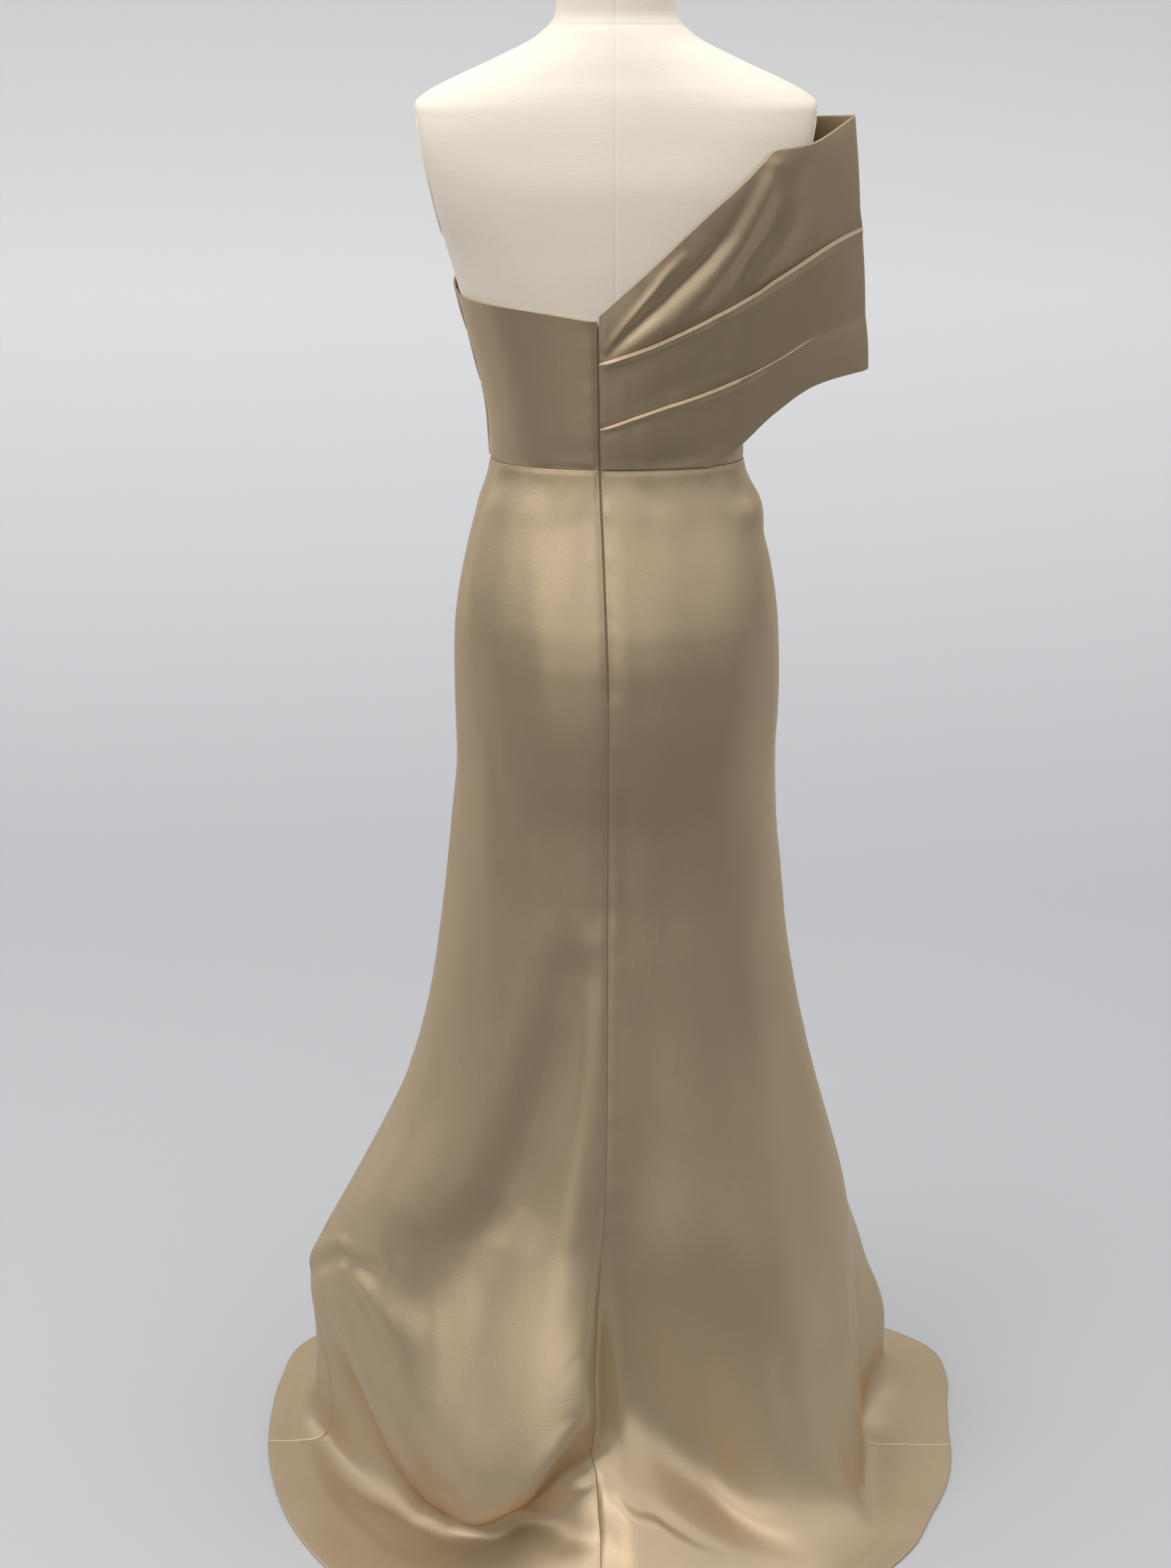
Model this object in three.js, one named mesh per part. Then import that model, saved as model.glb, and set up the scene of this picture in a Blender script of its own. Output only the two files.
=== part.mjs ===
// One-shoulder evening dress with a pleated drape, standing on a limbless dress form.
// Millimetres. +Z is up, the front faces -Y and the drape is on the -X side, the wearer's right.
// The origin is on the floor, at the foot of the form's pole.
// Rings are polar: angle 0 points to the back (+Y) and angle 90 to the wearer's left (+X).

import * as THREE from "three";

const DEGREE = Math.PI / 180;

// Heights above the floor
const WAIST = 1057;
const FORM_BOTTOM = 770;
const NECK_TOP = 1500;
const ZIP_END = 832;
const ZIP_TOP = 1189;
const RING_END = 300;

// Layers over the figure, outer faces measured from its surface
const SEAM_GAP = 0.3;
const BASE_OUT = 2.4;
const BASE_WALL = 1.1;
const BACK_OUT = 3.0;
const BACK_WALL = 1.6;
const DRAPE_OUT = 4.8;
const DRAPE_WALL = 1.6;
const SKIRT_OUT = 3.4;
const SKIRT_WALL = 1.7;
const ZIP_OUT = 2.7;
const ZIP_WALL = 1.2;
const ZIP_WIDTH = 4.0;

// Armhole cut of the form: a flat on each side that leans out as it rises
const CUT_FOOT_HEIGHT = 1240;
const CUT_FOOT_WIDTH = 152;
const CUT_SLOPE = 0.216;
const PLATE_CENTRE_HEIGHT = 1316;
const PLATE_HALF_HEIGHT = 56;
const PLATE_HALF_DEPTH = 36;
const PLATE_THICKNESS = 3;

// Bust of the figure: one soft mound on each side of the front
const BUST_HEIGHT = 1225;
const BUST_ANGLE = 37;
const BUST_SPREAD_ANGLE = 22;
const BUST_SPREAD_HEIGHT = 55;
const BUST_RISE = 15;

// Stand
const NECK_CAP_RADIUS = 48;
const NECK_CAP_THICKNESS = 9;
const NECK_CAP_BEVEL = 2.5;
const COLLAR_RADIUS = 38;
const COLLAR_HEIGHT = 16;
const COLLAR_BEVEL = 4;
const POLE_RADIUS = 14;
const BASE_RADIUS = 140;
const BASE_THICKNESS = 14;
const BASE_BEVEL = 5;

// Outer fold of the drape beside the right arm, at its lower and upper corner
const FOLD_LOW_HEIGHT = 1139;
const FOLD_LOW_OUT = 237;
const FOLD_HIGH_HEIGHT = 1367;
const FOLD_HIGH_OUT = 219;
const FOLD_RADIUS = 4;
const PLEAT_RISE = 4.5;

// Seams, as angles and as the sideways shift of the centre-back seam
const LEFT_SEAM = 92;
const RIGHT_SEAM = -92;
const FOLD_SEAM = -90;

// The cloth that lies on the floor
const HEM_HEIGHT = 2.4;

// Figure and upper skirt: height, left, right, back, front, squareness
const FIGURE = [
  [300, 266, 238, 186, 226, 2.2],
  [350, 240, 223, 173, 206, 2.2],
  [410, 212, 206, 158, 184, 2.2],
  [470, 192, 191, 145, 164, 2.2],
  [530, 178, 178, 133, 146, 2.2],
  [590, 168, 168, 123, 132, 2.2],
  [650, 160, 162, 116, 120, 2.2],
  [710, 154, 156, 115, 111, 2.25],
  [770, 149, 154, 119, 108, 2.3],
  [830, 150, 156, 124, 108, 2.25],
  [900, 149, 153, 117, 106, 2.2],
  [960, 140, 144, 103, 101, 2.2],
  [1013, 127, 131, 90, 94, 2.2],
  [1057, 115, 119, 82, 88, 2.25],
  [1091, 116, 118, 83, 91, 2.3],
  [1139, 125, 126, 88, 98, 2.35],
  [1186, 137, 137, 94, 104, 2.45],
  [1240, 152, 152, 99, 106, 2.55],
  [1300, 176, 176, 101, 98, 2.6],
  [1352, 189, 189, 94, 84, 2.6],
  [1376, 187, 187, 89, 77, 2.5],
  [1390, 173, 173, 85, 72, 2.35],
  [1402, 150, 150, 80, 68, 2.25],
  [1421, 108, 108, 72, 62, 2.15],
  [1441, 70, 70, 61, 58, 2.05],
  [1459, 55, 55, 50, 57, 2],
  [1500, 52, 52, 46, 57, 2],
];

// Centre-back seam: height, shift towards the wearer's left
const CENTRE_BACK = [
  [0, 8],
  [110, 15],
  [230, 10],
  [450, 5],
  [830, 5],
  [960, 9],
  [1057, 13],
  [1125, 14],
  [1193, 15],
];

// Top edge of the plain bodice: angle, height
const TOP_EDGE = [
  [-92, 1230],
  [-45, 1206],
  [0, 1192],
  [9, 1193],
  [45, 1203],
  [92, 1213],
];
const FRONT_TOP_EDGE = [
  [92, 1205],
  [135, 1238],
  [180, 1262],
  [225, 1260],
  [268, 1230],
];

// Lines of the drape: angle, lower edge, second pleat, first pleat, ridge, upper edge
const DRAPE_BACK = [
  [-90, 1139, 1192, 1265, 1322, 1367],
  [-75, 1102, 1157, 1242, 1316, 1353],
  [-60, 1057, 1138, 1218, 1294, 1337],
  [-45, 1057, 1128, 1198, 1246, 1298],
  [-20, 1057, 1114, 1171, 1202, 1243],
  [10, 1057, 1096, 1147, 1166, 1195],
];
const DRAPE_FRONT = [
  [-268, 1057, 1122, 1168, 1190, 1214],
  [-240, 1057, 1130, 1184, 1211, 1238],
  [-210, 1057, 1142, 1204, 1236, 1266],
  [-180, 1057, 1152, 1222, 1258, 1290],
  [-150, 1057, 1160, 1236, 1276, 1312],
  [-122, 1057, 1166, 1248, 1293, 1334],
  [-106, 1104, 1176, 1256, 1306, 1351],
  [-90, 1139, 1192, 1265, 1322, 1367],
];

// Soft folds across the drape: angle and height at one end, then the other, spread, rise
const DRAPE_FOLDS = [
  [-61, 1332, -43, 1204, 15, 8],
  [2, 1168, -25, 1226, 8, 4],
  [-78, 1226, -60, 1180, 18, 3],
  [-110, 1300, -160, 1210, 16, 6],
  [-175, 1246, -235, 1190, 12, 4],
];

// Folds of the skirt: angle at knee height, angle at the floor, spread, rise, height where it fades in
const SKIRT_FOLDS = [
  [10, 42, 14, 16, 640],
  [36, 72, 15, -14, 580],
  [-12, -9, 9, -8, 430],
  [-38, -46, 14, 8, 580],
  [-66, -72, 12, -8, 540],
  [-128, -126, 14, 10, 560],
  [-152, -150, 12, -12, 520],
  [-178, -179, 16, 11, 620],
  [152, 150, 12, -12, 500],
  [126, 128, 13, 10, 560],
];
const KNEE = 620;
const FOLD_FULL = 260;

// Small puff at the right end of the waist seam: angle, height, spread in degrees and height, rise
const HIP_PUFF = [-88, 1014, 12, 14, 5];

// Where the skirt breaks on the floor:
// angle, ridge radius, ridge height, tuck radius, tuck height, hem radius
const FLOOR_BREAK = [
  [0, 212, 168, 262, 62, 388],
  [12, 258, 150, 264, 30, 386],
  [26, 300, 122, 282, 17, 374],
  [42, 306, 88, 280, 12, 361],
  [58, 300, 108, 272, 12, 355],
  [74, 303, 160, 284, 16, 354],
  [92, 318, 212, 332, 70, 363],
  [112, 324, 170, 340, 40, 393],
  [135, 312, 110, 326, 20, 402],
  [160, 275, 72, 290, 14, 368],
  [185, 262, 60, 282, 12, 352],
  [210, 285, 76, 294, 14, 372],
  [228, 306, 84, 312, 14, 396],
  [242, 350, 88, 352, 20, 404],
  [256, 306, 60, 304, 12, 376],
  [282, 280, 26, 288, 9, 349],
  [300, 270, 22, 284, 9, 335],
  [315, 268, 24, 284, 9, 320],
  [330, 240, 80, 276, 30, 334],
  [346, 218, 126, 270, 50, 364],
];

const COLOURS = {
  satin: { color: 0x9a8767, roughness: 0.42, metalness: 0.05 },
  zip: { color: 0x85745a, roughness: 0.6, metalness: 0 },
  linen: { color: 0xe4dccb, roughness: 0.9, metalness: 0 },
  steel: { color: 0xb4b4b0, roughness: 0.35, metalness: 0.9 },
};

// Slopes of a smooth curve that never overshoots its rows, for one column of a table.
function slopeAt(table, row, column) {
  const before = table[Math.max(row - 1, 0)];
  const here = table[row];
  const after = table[Math.min(row + 1, table.length - 1)];
  if (before === here || after === here) {
    return (after[column] - before[column]) / (after[0] - before[0]);
  }
  const rising = (here[column] - before[column]) / (here[0] - before[0]);
  const going = (after[column] - here[column]) / (after[0] - here[0]);
  if (rising * going <= 0) return 0;
  return (2 * rising * going) / (rising + going);
}

// All columns of a table at a key, on the smooth curve through its rows.
function rowAt(table, key) {
  const last = table.length - 2;
  let row = 0;
  while (row < last && table[row + 1][0] < key) row += 1;
  const span = table[row + 1][0] - table[row][0];
  const part = THREE.MathUtils.clamp((key - table[row][0]) / span, 0, 1);
  const square = part * part;
  const cube = square * part;
  return table[row].map((value, column) => {
    const start = slopeAt(table, row, column) * span;
    const end = slopeAt(table, row + 1, column) * span;
    const next = table[row + 1][column];
    const fromStart = (2 * cube - 3 * square + 1) * value + (cube - 2 * square + part) * start;
    return fromStart + (3 * square - 2 * cube) * next + (cube - square) * end;
  });
}

// The same for a table of angles that closes on itself.
function wrapped(table) {
  const shifted = (row, turn) => [row[0] + turn, ...row.slice(1)];
  const lastRow = table[table.length - 1];
  return [shifted(lastRow, -360), ...table, shifted(table[0], 360), shifted(table[1], 360)];
}
const FLOOR_RING = wrapped(FLOOR_BREAK);

function bell(distance, spread) {
  return Math.exp(-0.5 * (distance / spread) ** 2);
}

// Difference between two angles, from -180 to 180.
function turnBetween(angle, other) {
  return THREE.MathUtils.euclideanModulo(angle - other + 180, 360) - 180;
}

function smoothStep(from, to, value) {
  const part = THREE.MathUtils.clamp((value - from) / (to - from), 0, 1);
  return part * part * (3 - 2 * part);
}

function polar(angle, radius, height) {
  return new THREE.Vector3(
    radius * Math.sin(angle * DEGREE),
    radius * Math.cos(angle * DEGREE),
    height,
  );
}

function bustRise(angle, height) {
  const side = Math.abs(turnBetween(angle, 180));
  const across = bell(side - BUST_ANGLE, BUST_SPREAD_ANGLE);
  return BUST_RISE * across * bell(height - BUST_HEIGHT, BUST_SPREAD_HEIGHT);
}

// Radius of the figure in one direction at one height.
function figureRadius(angle, height) {
  const [, left, right, back, front, squareness] = rowAt(FIGURE, height);
  const sideways = Math.sin(angle * DEGREE);
  const backwards = Math.cos(angle * DEGREE);
  const across = Math.abs(sideways) / (sideways > 0 ? left : right);
  const along = Math.abs(backwards) / (backwards > 0 ? back : front);
  const oval = (across ** squareness + along ** squareness) ** (-1 / squareness);
  const full = oval + bustRise(angle, height);
  if (height <= CUT_FOOT_HEIGHT) return full;
  const cutWidth = CUT_FOOT_WIDTH + CUT_SLOPE * (height - CUT_FOOT_HEIGHT);
  return Math.min(full, cutWidth / Math.max(Math.abs(sideways), 1e-6));
}

function skirtFolds(angle, height) {
  const fall = (KNEE - height) / (KNEE - FOLD_FULL);
  let rise = 0;
  for (const [kneeAngle, floorAngle, spread, foldRise, fade] of SKIRT_FOLDS) {
    const middle = THREE.MathUtils.lerp(kneeAngle, floorAngle, fall);
    const strength = smoothStep(fade, FOLD_FULL, height);
    rise += foldRise * strength * bell(turnBetween(angle, middle), spread);
  }
  const [puffAngle, puffHeight, angleSpread, heightSpread, puffRise] = HIP_PUFF;
  const puff = bell(turnBetween(angle, puffAngle), angleSpread);
  return rise + puffRise * puff * bell(height - puffHeight, heightSpread);
}

function skirtRing(angle, height) {
  return figureRadius(angle, height) + SKIRT_OUT + skirtFolds(angle, height);
}

// Point on a curve through four points, between the second and the third, spaced by their distances.
function curvePoint(points, part) {
  const knots = [0];
  for (let i = 1; i < 4; i += 1) {
    knots.push(knots[i - 1] + Math.sqrt(points[i].distanceTo(points[i - 1])));
  }
  const at = THREE.MathUtils.lerp(knots[1], knots[2], part);
  let level = points;
  for (let order = 1; order <= 3; order += 1) {
    const next = [];
    for (let i = 0; i < level.length - 1; i += 1) {
      const low = order === 3 ? knots[1] : knots[i];
      const high = order === 3 ? knots[2] : knots[i + order];
      const mix = (at - low) / (high - low);
      next.push(level[i].clone().lerp(level[i + 1], mix));
    }
    level = next;
  }
  return level[0];
}

// Places of one meridian where the skirt leaves its rings, folds over and lies on the floor.
function floorPlaces(angle) {
  const key = THREE.MathUtils.euclideanModulo(angle, 360);
  const [, ridgeOut, ridgeHeight, tuckOut, tuckHeight, hemOut] = rowAt(FLOOR_RING, key);
  const above = RING_END + 60;
  const restOut = THREE.MathUtils.lerp(tuckOut, hemOut, 0.5);
  return [
    polar(angle, skirtRing(angle, above), above),
    polar(angle, skirtRing(angle, RING_END), RING_END),
    polar(angle, ridgeOut, ridgeHeight),
    polar(angle, tuckOut, tuckHeight),
    polar(angle, restOut, HEM_HEIGHT + 1),
    polar(angle, hemOut, HEM_HEIGHT),
    polar(angle, hemOut + 30, HEM_HEIGHT),
  ];
}

// Outer face of the skirt. The place is a height down to the end of the rings,
// and below that the count of floor places passed, as a negative number.
function skirtPoint(angle, place) {
  if (place >= RING_END) return polar(angle, skirtRing(angle, place), place);
  const passed = -place;
  const stretch = Math.min(Math.floor(passed), 3);
  const point = curvePoint(floorPlaces(angle).slice(stretch, stretch + 4), passed - stretch);
  point.z = Math.max(point.z, HEM_HEIGHT);
  return point;
}

function skirtNormal(angle, place) {
  const lower = place > RING_END ? place - 1 : Math.max(Math.min(place, 0) - 0.02, -4);
  const upper = place >= RING_END ? place + 1 : Math.min(place + 0.02, 0);
  const down = skirtPoint(angle, lower).sub(skirtPoint(angle, upper));
  const round = skirtPoint(angle + 0.3, place).sub(skirtPoint(angle - 0.3, place));
  return round.cross(down).normalize();
}

// Distance from the axis to a line that touches the clothed figure, for every direction, at one height.
const DIRECTION_STEP = 3;
const LEVEL_STEP = 10;
const supportLevels = new Map();
function supportLevel(height) {
  if (supportLevels.has(height)) return supportLevels.get(height);
  const ring = [];
  for (let angle = 0; angle < 360; angle += 4) {
    ring.push(polar(angle, figureRadius(angle, height) + DRAPE_OUT, 0));
  }
  const rise = (height - FOLD_LOW_HEIGHT) / (FOLD_HIGH_HEIGHT - FOLD_LOW_HEIGHT);
  const foldOut = THREE.MathUtils.lerp(FOLD_LOW_OUT, FOLD_HIGH_OUT, rise) - FOLD_RADIUS;
  const fold = polar(FOLD_SEAM, foldOut, 0);
  const support = [];
  for (let angle = 0; angle < 360; angle += DIRECTION_STEP) {
    const towards = polar(angle, 1, 0);
    const figure = Math.max(...ring.map((point) => point.dot(towards)));
    support.push(Math.max(figure, fold.dot(towards) + FOLD_RADIUS));
  }
  supportLevels.set(height, support);
  return support;
}

// Radius of cloth pulled taut round the figure and the outer fold.
function tautRadius(angle, height) {
  const low = Math.floor(height / LEVEL_STEP) * LEVEL_STEP;
  const lower = supportLevel(low);
  const upper = supportLevel(low + LEVEL_STEP);
  const part = (height - low) / LEVEL_STEP;
  let radius = Infinity;
  for (let i = 0; i < lower.length; i += 1) {
    const turn = Math.cos((angle - i * DIRECTION_STEP) * DEGREE);
    if (turn < 0.1) continue;
    radius = Math.min(radius, THREE.MathUtils.lerp(lower[i], upper[i], part) / turn);
  }
  return radius;
}

// Rise of the soft folds that cross the drape.
function drapeFolds(angle, height) {
  let rise = 0;
  for (const [fromAngle, fromHeight, toAngle, toHeight, spread, foldRise] of DRAPE_FOLDS) {
    const across = (toAngle - fromAngle) * 2;
    const up = toHeight - fromHeight;
    const along = ((angle - fromAngle) * 2 * across + (height - fromHeight) * up) / (across ** 2 + up ** 2);
    const part = THREE.MathUtils.clamp(along, 0, 1);
    const missAcross = (angle - fromAngle) * 2 - across * part;
    const missUp = height - fromHeight - up * part;
    rise += foldRise * bell(Math.hypot(missAcross, missUp), spread);
  }
  return rise;
}

// Point of the drape: a band between two of its lines, and how far up that band.
function drapePoint(lines, angle, band, part) {
  const row = rowAt(lines, angle);
  const height = THREE.MathUtils.lerp(row[band + 1], row[band + 2], part);
  const lapped = band === 0 ? 0 : PLEAT_RISE * (1 - part);
  const rise = lapped + drapeFolds(angle, height);
  return polar(angle, tautRadius(angle, height) + rise, height);
}

// Angle of the centre-back seam on a ring of a given radius.
function centreBackAngle(height, radius) {
  const [, shift] = rowAt(CENTRE_BACK, height);
  return Math.asin(shift / radius) / DEGREE;
}

// Half the space at the centre-back seam: room for the zip above its end, a plain seam below.
function halfSpace(height) {
  const beside = ZIP_WIDTH / 2 + SEAM_GAP;
  return THREE.MathUtils.lerp(SEAM_GAP / 2, beside, smoothStep(ZIP_END - 9, ZIP_END - 1, height));
}

// One closed body from a grid of outer points and the same grid of inner points.
function wallGeometry(outer, inner) {
  const rows = outer.length;
  const columns = outer[0].length;
  const points = [...outer.flat(), ...inner.flat()];
  const count = rows * columns;
  const faces = [];
  const quad = (a, b, c, d) => faces.push([a, b, c], [a, c, d]);
  const at = (row, column) => row * columns + column;
  for (let row = 0; row < rows - 1; row += 1) {
    for (let column = 0; column < columns - 1; column += 1) {
      const corners = [at(row, column), at(row + 1, column), at(row + 1, column + 1), at(row, column + 1)];
      quad(...corners);
      quad(...corners.map((corner) => corner + count).reverse());
    }
  }
  for (let column = 0; column < columns - 1; column += 1) {
    const low = [at(0, column), at(0, column + 1)];
    const high = [at(rows - 1, column), at(rows - 1, column + 1)];
    quad(low[0], low[1], low[1] + count, low[0] + count);
    quad(high[1], high[0], high[0] + count, high[1] + count);
  }
  for (let row = 0; row < rows - 1; row += 1) {
    const first = [at(row, 0), at(row + 1, 0)];
    const last = [at(row, columns - 1), at(row + 1, columns - 1)];
    quad(first[1], first[0], first[0] + count, first[1] + count);
    quad(last[0], last[1], last[1] + count, last[0] + count);
  }
  return facingOut(points, faces);
}

// A closed body through rings, with a middle point on the first and last ring.
function ringBody(rings) {
  const columns = rings[0].length;
  const points = rings.flat();
  const faces = [];
  for (let ring = 0; ring < rings.length - 1; ring += 1) {
    for (let column = 0; column < columns; column += 1) {
      const here = ring * columns + column;
      const beside = ring * columns + ((column + 1) % columns);
      faces.push([here, here + columns, beside + columns], [here, beside + columns, beside]);
    }
  }
  const ends = [0, (rings.length - 1) * columns];
  ends.forEach((start, end) => {
    const middle = new THREE.Vector3();
    rings[end * (rings.length - 1)].forEach((point) => middle.addScaledVector(point, 1 / columns));
    points.push(middle);
    for (let column = 0; column < columns; column += 1) {
      const pair = [start + column, start + ((column + 1) % columns)];
      faces.push(end === 0 ? [pair[0], pair[1], points.length - 1] : [pair[1], pair[0], points.length - 1]);
    }
  });
  return facingOut(points, faces);
}

// Turns the faces round where their volume comes out negative.
function facingOut(points, faces) {
  const volume = faces.reduce((sum, [a, b, c]) => {
    return sum + points[a].dot(points[b].clone().cross(points[c]));
  }, 0);
  const turned = volume < 0 ? faces.map(([a, b, c]) => [a, c, b]) : faces;
  const geometry = new THREE.BufferGeometry().setFromPoints(points);
  geometry.setIndex(turned.flat());
  geometry.computeVertexNormals();
  return geometry;
}

function spaced(from, to, steps) {
  return Array.from({ length: steps + 1 }, (_, i) => THREE.MathUtils.lerp(from, to, i / steps));
}

// Plain cloth close to the figure, between two angles that may vary with height.
function figurePanel({ out, thick, columns, rows, edges, heights }) {
  const build = (depth) =>
    spaced(0, 1, rows).map((up) =>
      spaced(0, 1, columns).map((along) => {
        const guess = THREE.MathUtils.lerp(...edges(WAIST), along);
        const [low, high] = heights(guess);
        const height = THREE.MathUtils.lerp(low, high, up);
        const angle = THREE.MathUtils.lerp(...edges(height), along);
        return polar(angle, figureRadius(angle, height) + out - depth, height);
      }),
    );
  return wallGeometry(build(0), build(thick));
}

const SEAM_ANGLE = SEAM_GAP / 2 / 120 / DEGREE;
const bodiceBottom = WAIST + SEAM_GAP / 2;

function backEdge(height, side) {
  const radius = figureRadius(0, height);
  const space = Math.asin(halfSpace(height) / radius) / DEGREE;
  return centreBackAngle(height, radius) + side * space;
}

function bodiceBackLeft() {
  return figurePanel({
    out: BACK_OUT,
    thick: BACK_WALL,
    columns: 12,
    rows: 7,
    edges: (height) => [backEdge(height, 1), LEFT_SEAM - SEAM_ANGLE],
    heights: (angle) => [bodiceBottom, rowAt(TOP_EDGE, angle)[1]],
  });
}

function bodiceBackRight() {
  return figurePanel({
    out: BASE_OUT,
    thick: BASE_WALL,
    columns: 13,
    rows: 7,
    edges: (height) => [RIGHT_SEAM + SEAM_ANGLE, backEdge(height, -1)],
    heights: (angle) => [bodiceBottom, rowAt(TOP_EDGE, angle)[1]],
  });
}

function bodiceFront() {
  return figurePanel({
    out: BASE_OUT,
    thick: BASE_WALL,
    columns: 22,
    rows: 9,
    edges: () => [LEFT_SEAM + SEAM_ANGLE, 360 + RIGHT_SEAM - SEAM_ANGLE],
    heights: (angle) => [bodiceBottom, rowAt(FRONT_TOP_EDGE, angle)[1]],
  });
}

function zipStrip() {
  const strip = (depth) =>
    spaced(ZIP_END, ZIP_TOP, 14).map((height) => {
      const radius = figureRadius(0, height);
      const middle = centreBackAngle(height, radius);
      const half = Math.asin(ZIP_WIDTH / 2 / radius) / DEGREE;
      return spaced(middle - half, middle + half, 2).map((angle) =>
        polar(angle, figureRadius(angle, height) + ZIP_OUT - depth, height),
      );
    });
  return wallGeometry(strip(0), strip(ZIP_WALL));
}

// Pleated cloth: rows crowd together where one pleat laps over the next.
function drapeGeometry(lines, angles) {
  const parts = [0.03, 0.34, 0.67, 0.97];
  const bands = [0, 1, 2, 3];
  const rows = bands.flatMap((band) => parts.map((part) => [band, part]));
  rows[0][1] = 0;
  rows[rows.length - 1][1] = 1;
  const outer = rows.map(([band, part]) =>
    angles.map((edge) => drapePoint(lines, edge, band, part)),
  );
  outer[0].forEach((point) => {
    point.z += SEAM_GAP / 2;
  });
  const inner = outer.map((row) =>
    row.map((point) => {
      const radius = Math.hypot(point.x, point.y);
      const scale = (radius - DRAPE_WALL) / radius;
      return new THREE.Vector3(point.x * scale, point.y * scale, point.z);
    }),
  );
  return wallGeometry(outer, inner);
}

function drapeBack() {
  const foldEdge = FOLD_SEAM + SEAM_ANGLE;
  const zipEdge = backEdge(WAIST + 60, -1);
  const angles = [foldEdge, -89, -88, ...spaced(-86, zipEdge, 18)];
  return drapeGeometry(DRAPE_BACK, angles);
}

function drapeFront() {
  const foldEdge = FOLD_SEAM - SEAM_ANGLE;
  const sideEdge = LEFT_SEAM - 360 + SEAM_ANGLE;
  const angles = [...spaced(sideEdge, -94, 25), -92, -91, foldEdge];
  return drapeGeometry(DRAPE_FRONT, angles);
}

// Places of the skirt's rows, from the waist seam to the hem.
function skirtPlaces() {
  const hips = [WAIST - SEAM_GAP / 2, 1030, 1000, 960, 915, 870, ZIP_END - 1, ZIP_END - 9];
  const rings = [...hips, 780, 720, 655, 590, 525, 470, 420, 375, 336, RING_END];
  const floor = [0.25, 0.5, 0.75, 1, 1.3, 1.65, 2, 2.4, 3, 3.5, 4];
  return [...rings, ...floor.map((count) => -count)];
}

// One panel of the skirt between two edges, each a function of a point's height and radius.
function skirtPanel(columns, leftEdge, rightEdge) {
  const outer = [];
  const inner = [];
  for (const place of skirtPlaces()) {
    const middle = skirtPoint(0, place);
    const onRings = place >= RING_END;
    const radius = onRings ? figureRadius(0, place) : Math.hypot(middle.x, middle.y);
    const angles = spaced(leftEdge(middle.z, radius), rightEdge(middle.z, radius), columns);
    outer.push(angles.map((angle) => skirtPoint(angle, place)));
    inner.push(
      angles.map((angle) => {
        return skirtPoint(angle, place).addScaledVector(skirtNormal(angle, place), -SKIRT_WALL);
      }),
    );
  }
  return wallGeometry(outer, inner);
}

function centreEdge(side) {
  return (height, radius) => {
    const space = Math.asin(halfSpace(height) / radius) / DEGREE;
    return centreBackAngle(height, radius) + side * space;
  };
}

function sideEdge(angle, side) {
  return (height, radius) => angle + (side * (SEAM_GAP / 2)) / radius / DEGREE;
}

function skirtBackLeft() {
  return skirtPanel(13, centreEdge(1), sideEdge(LEFT_SEAM, -1));
}

function skirtBackRight() {
  return skirtPanel(14, sideEdge(RIGHT_SEAM, 1), centreEdge(-1));
}

function skirtFront() {
  return skirtPanel(22, sideEdge(LEFT_SEAM, 1), sideEdge(360 + RIGHT_SEAM, -1));
}

function formTorso() {
  const hips = [FORM_BOTTOM, 800, 835, 870, 905, 940, 972, 1000, 1022, 1040, WAIST];
  const chest = [1074, 1092, 1115, 1145, 1175, 1200, 1220, 1240, 1262, 1300, 1335, 1362];
  const shoulders = [1376, 1384, 1392, 1402, 1414, 1428, 1443, 1460, NECK_TOP];
  const angles = Array.from({ length: 40 }, (_, i) => i * 9);
  const rings = [...hips, ...chest, ...shoulders].map((height) =>
    angles.map((angle) => polar(angle, figureRadius(angle, height), height)),
  );
  return ringBody(rings);
}

// Oval plate on the armhole cut, lying against its slope.
function armholePlate(side) {
  const plate = new THREE.CylinderGeometry(1, 1, PLATE_THICKNESS, 28);
  plate.scale(PLATE_HALF_DEPTH, 1, PLATE_HALF_HEIGHT);
  plate.rotateZ(-Math.PI / 2);
  plate.rotateY(Math.atan(CUT_SLOPE));
  const width = CUT_FOOT_WIDTH + CUT_SLOPE * (PLATE_CENTRE_HEIGHT - CUT_FOOT_HEIGHT);
  plate.translate(width + PLATE_THICKNESS / 2 + SEAM_GAP * 1.5, -2, PLATE_CENTRE_HEIGHT);
  if (side < 0) plate.rotateZ(Math.PI);
  if (side < 0) plate.translate(0, -4, 0);
  return plate;
}

// A turned piece from its outline of radius and height, closed on the axis.
function turned(outline, sides) {
  const profile = outline.map(([radius, height]) => new THREE.Vector2(radius, height));
  const piece = new THREE.LatheGeometry(profile, sides);
  piece.rotateX(Math.PI / 2);
  return piece;
}

function neckCap() {
  const foot = NECK_TOP + SEAM_GAP;
  const top = foot + NECK_CAP_THICKNESS;
  const side = NECK_CAP_RADIUS;
  const rim = side - NECK_CAP_BEVEL;
  const low = foot + NECK_CAP_BEVEL;
  const high = top - NECK_CAP_BEVEL;
  return turned([[0, foot], [rim, foot], [side, low], [side, high], [rim, top], [0, top]], 36);
}

function poleCollar() {
  const top = FORM_BOTTOM - SEAM_GAP;
  const foot = top - COLLAR_HEIGHT;
  const side = COLLAR_RADIUS;
  const low = foot + COLLAR_BEVEL;
  return turned([[0, foot], [side - COLLAR_BEVEL, foot], [side, low], [side, top], [0, top]], 28);
}

function pole() {
  const foot = BASE_THICKNESS + SEAM_GAP;
  const top = FORM_BOTTOM - COLLAR_HEIGHT - 2 * SEAM_GAP;
  return turned([[0, foot], [POLE_RADIUS, foot], [POLE_RADIUS, top], [0, top]], 24);
}

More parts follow.
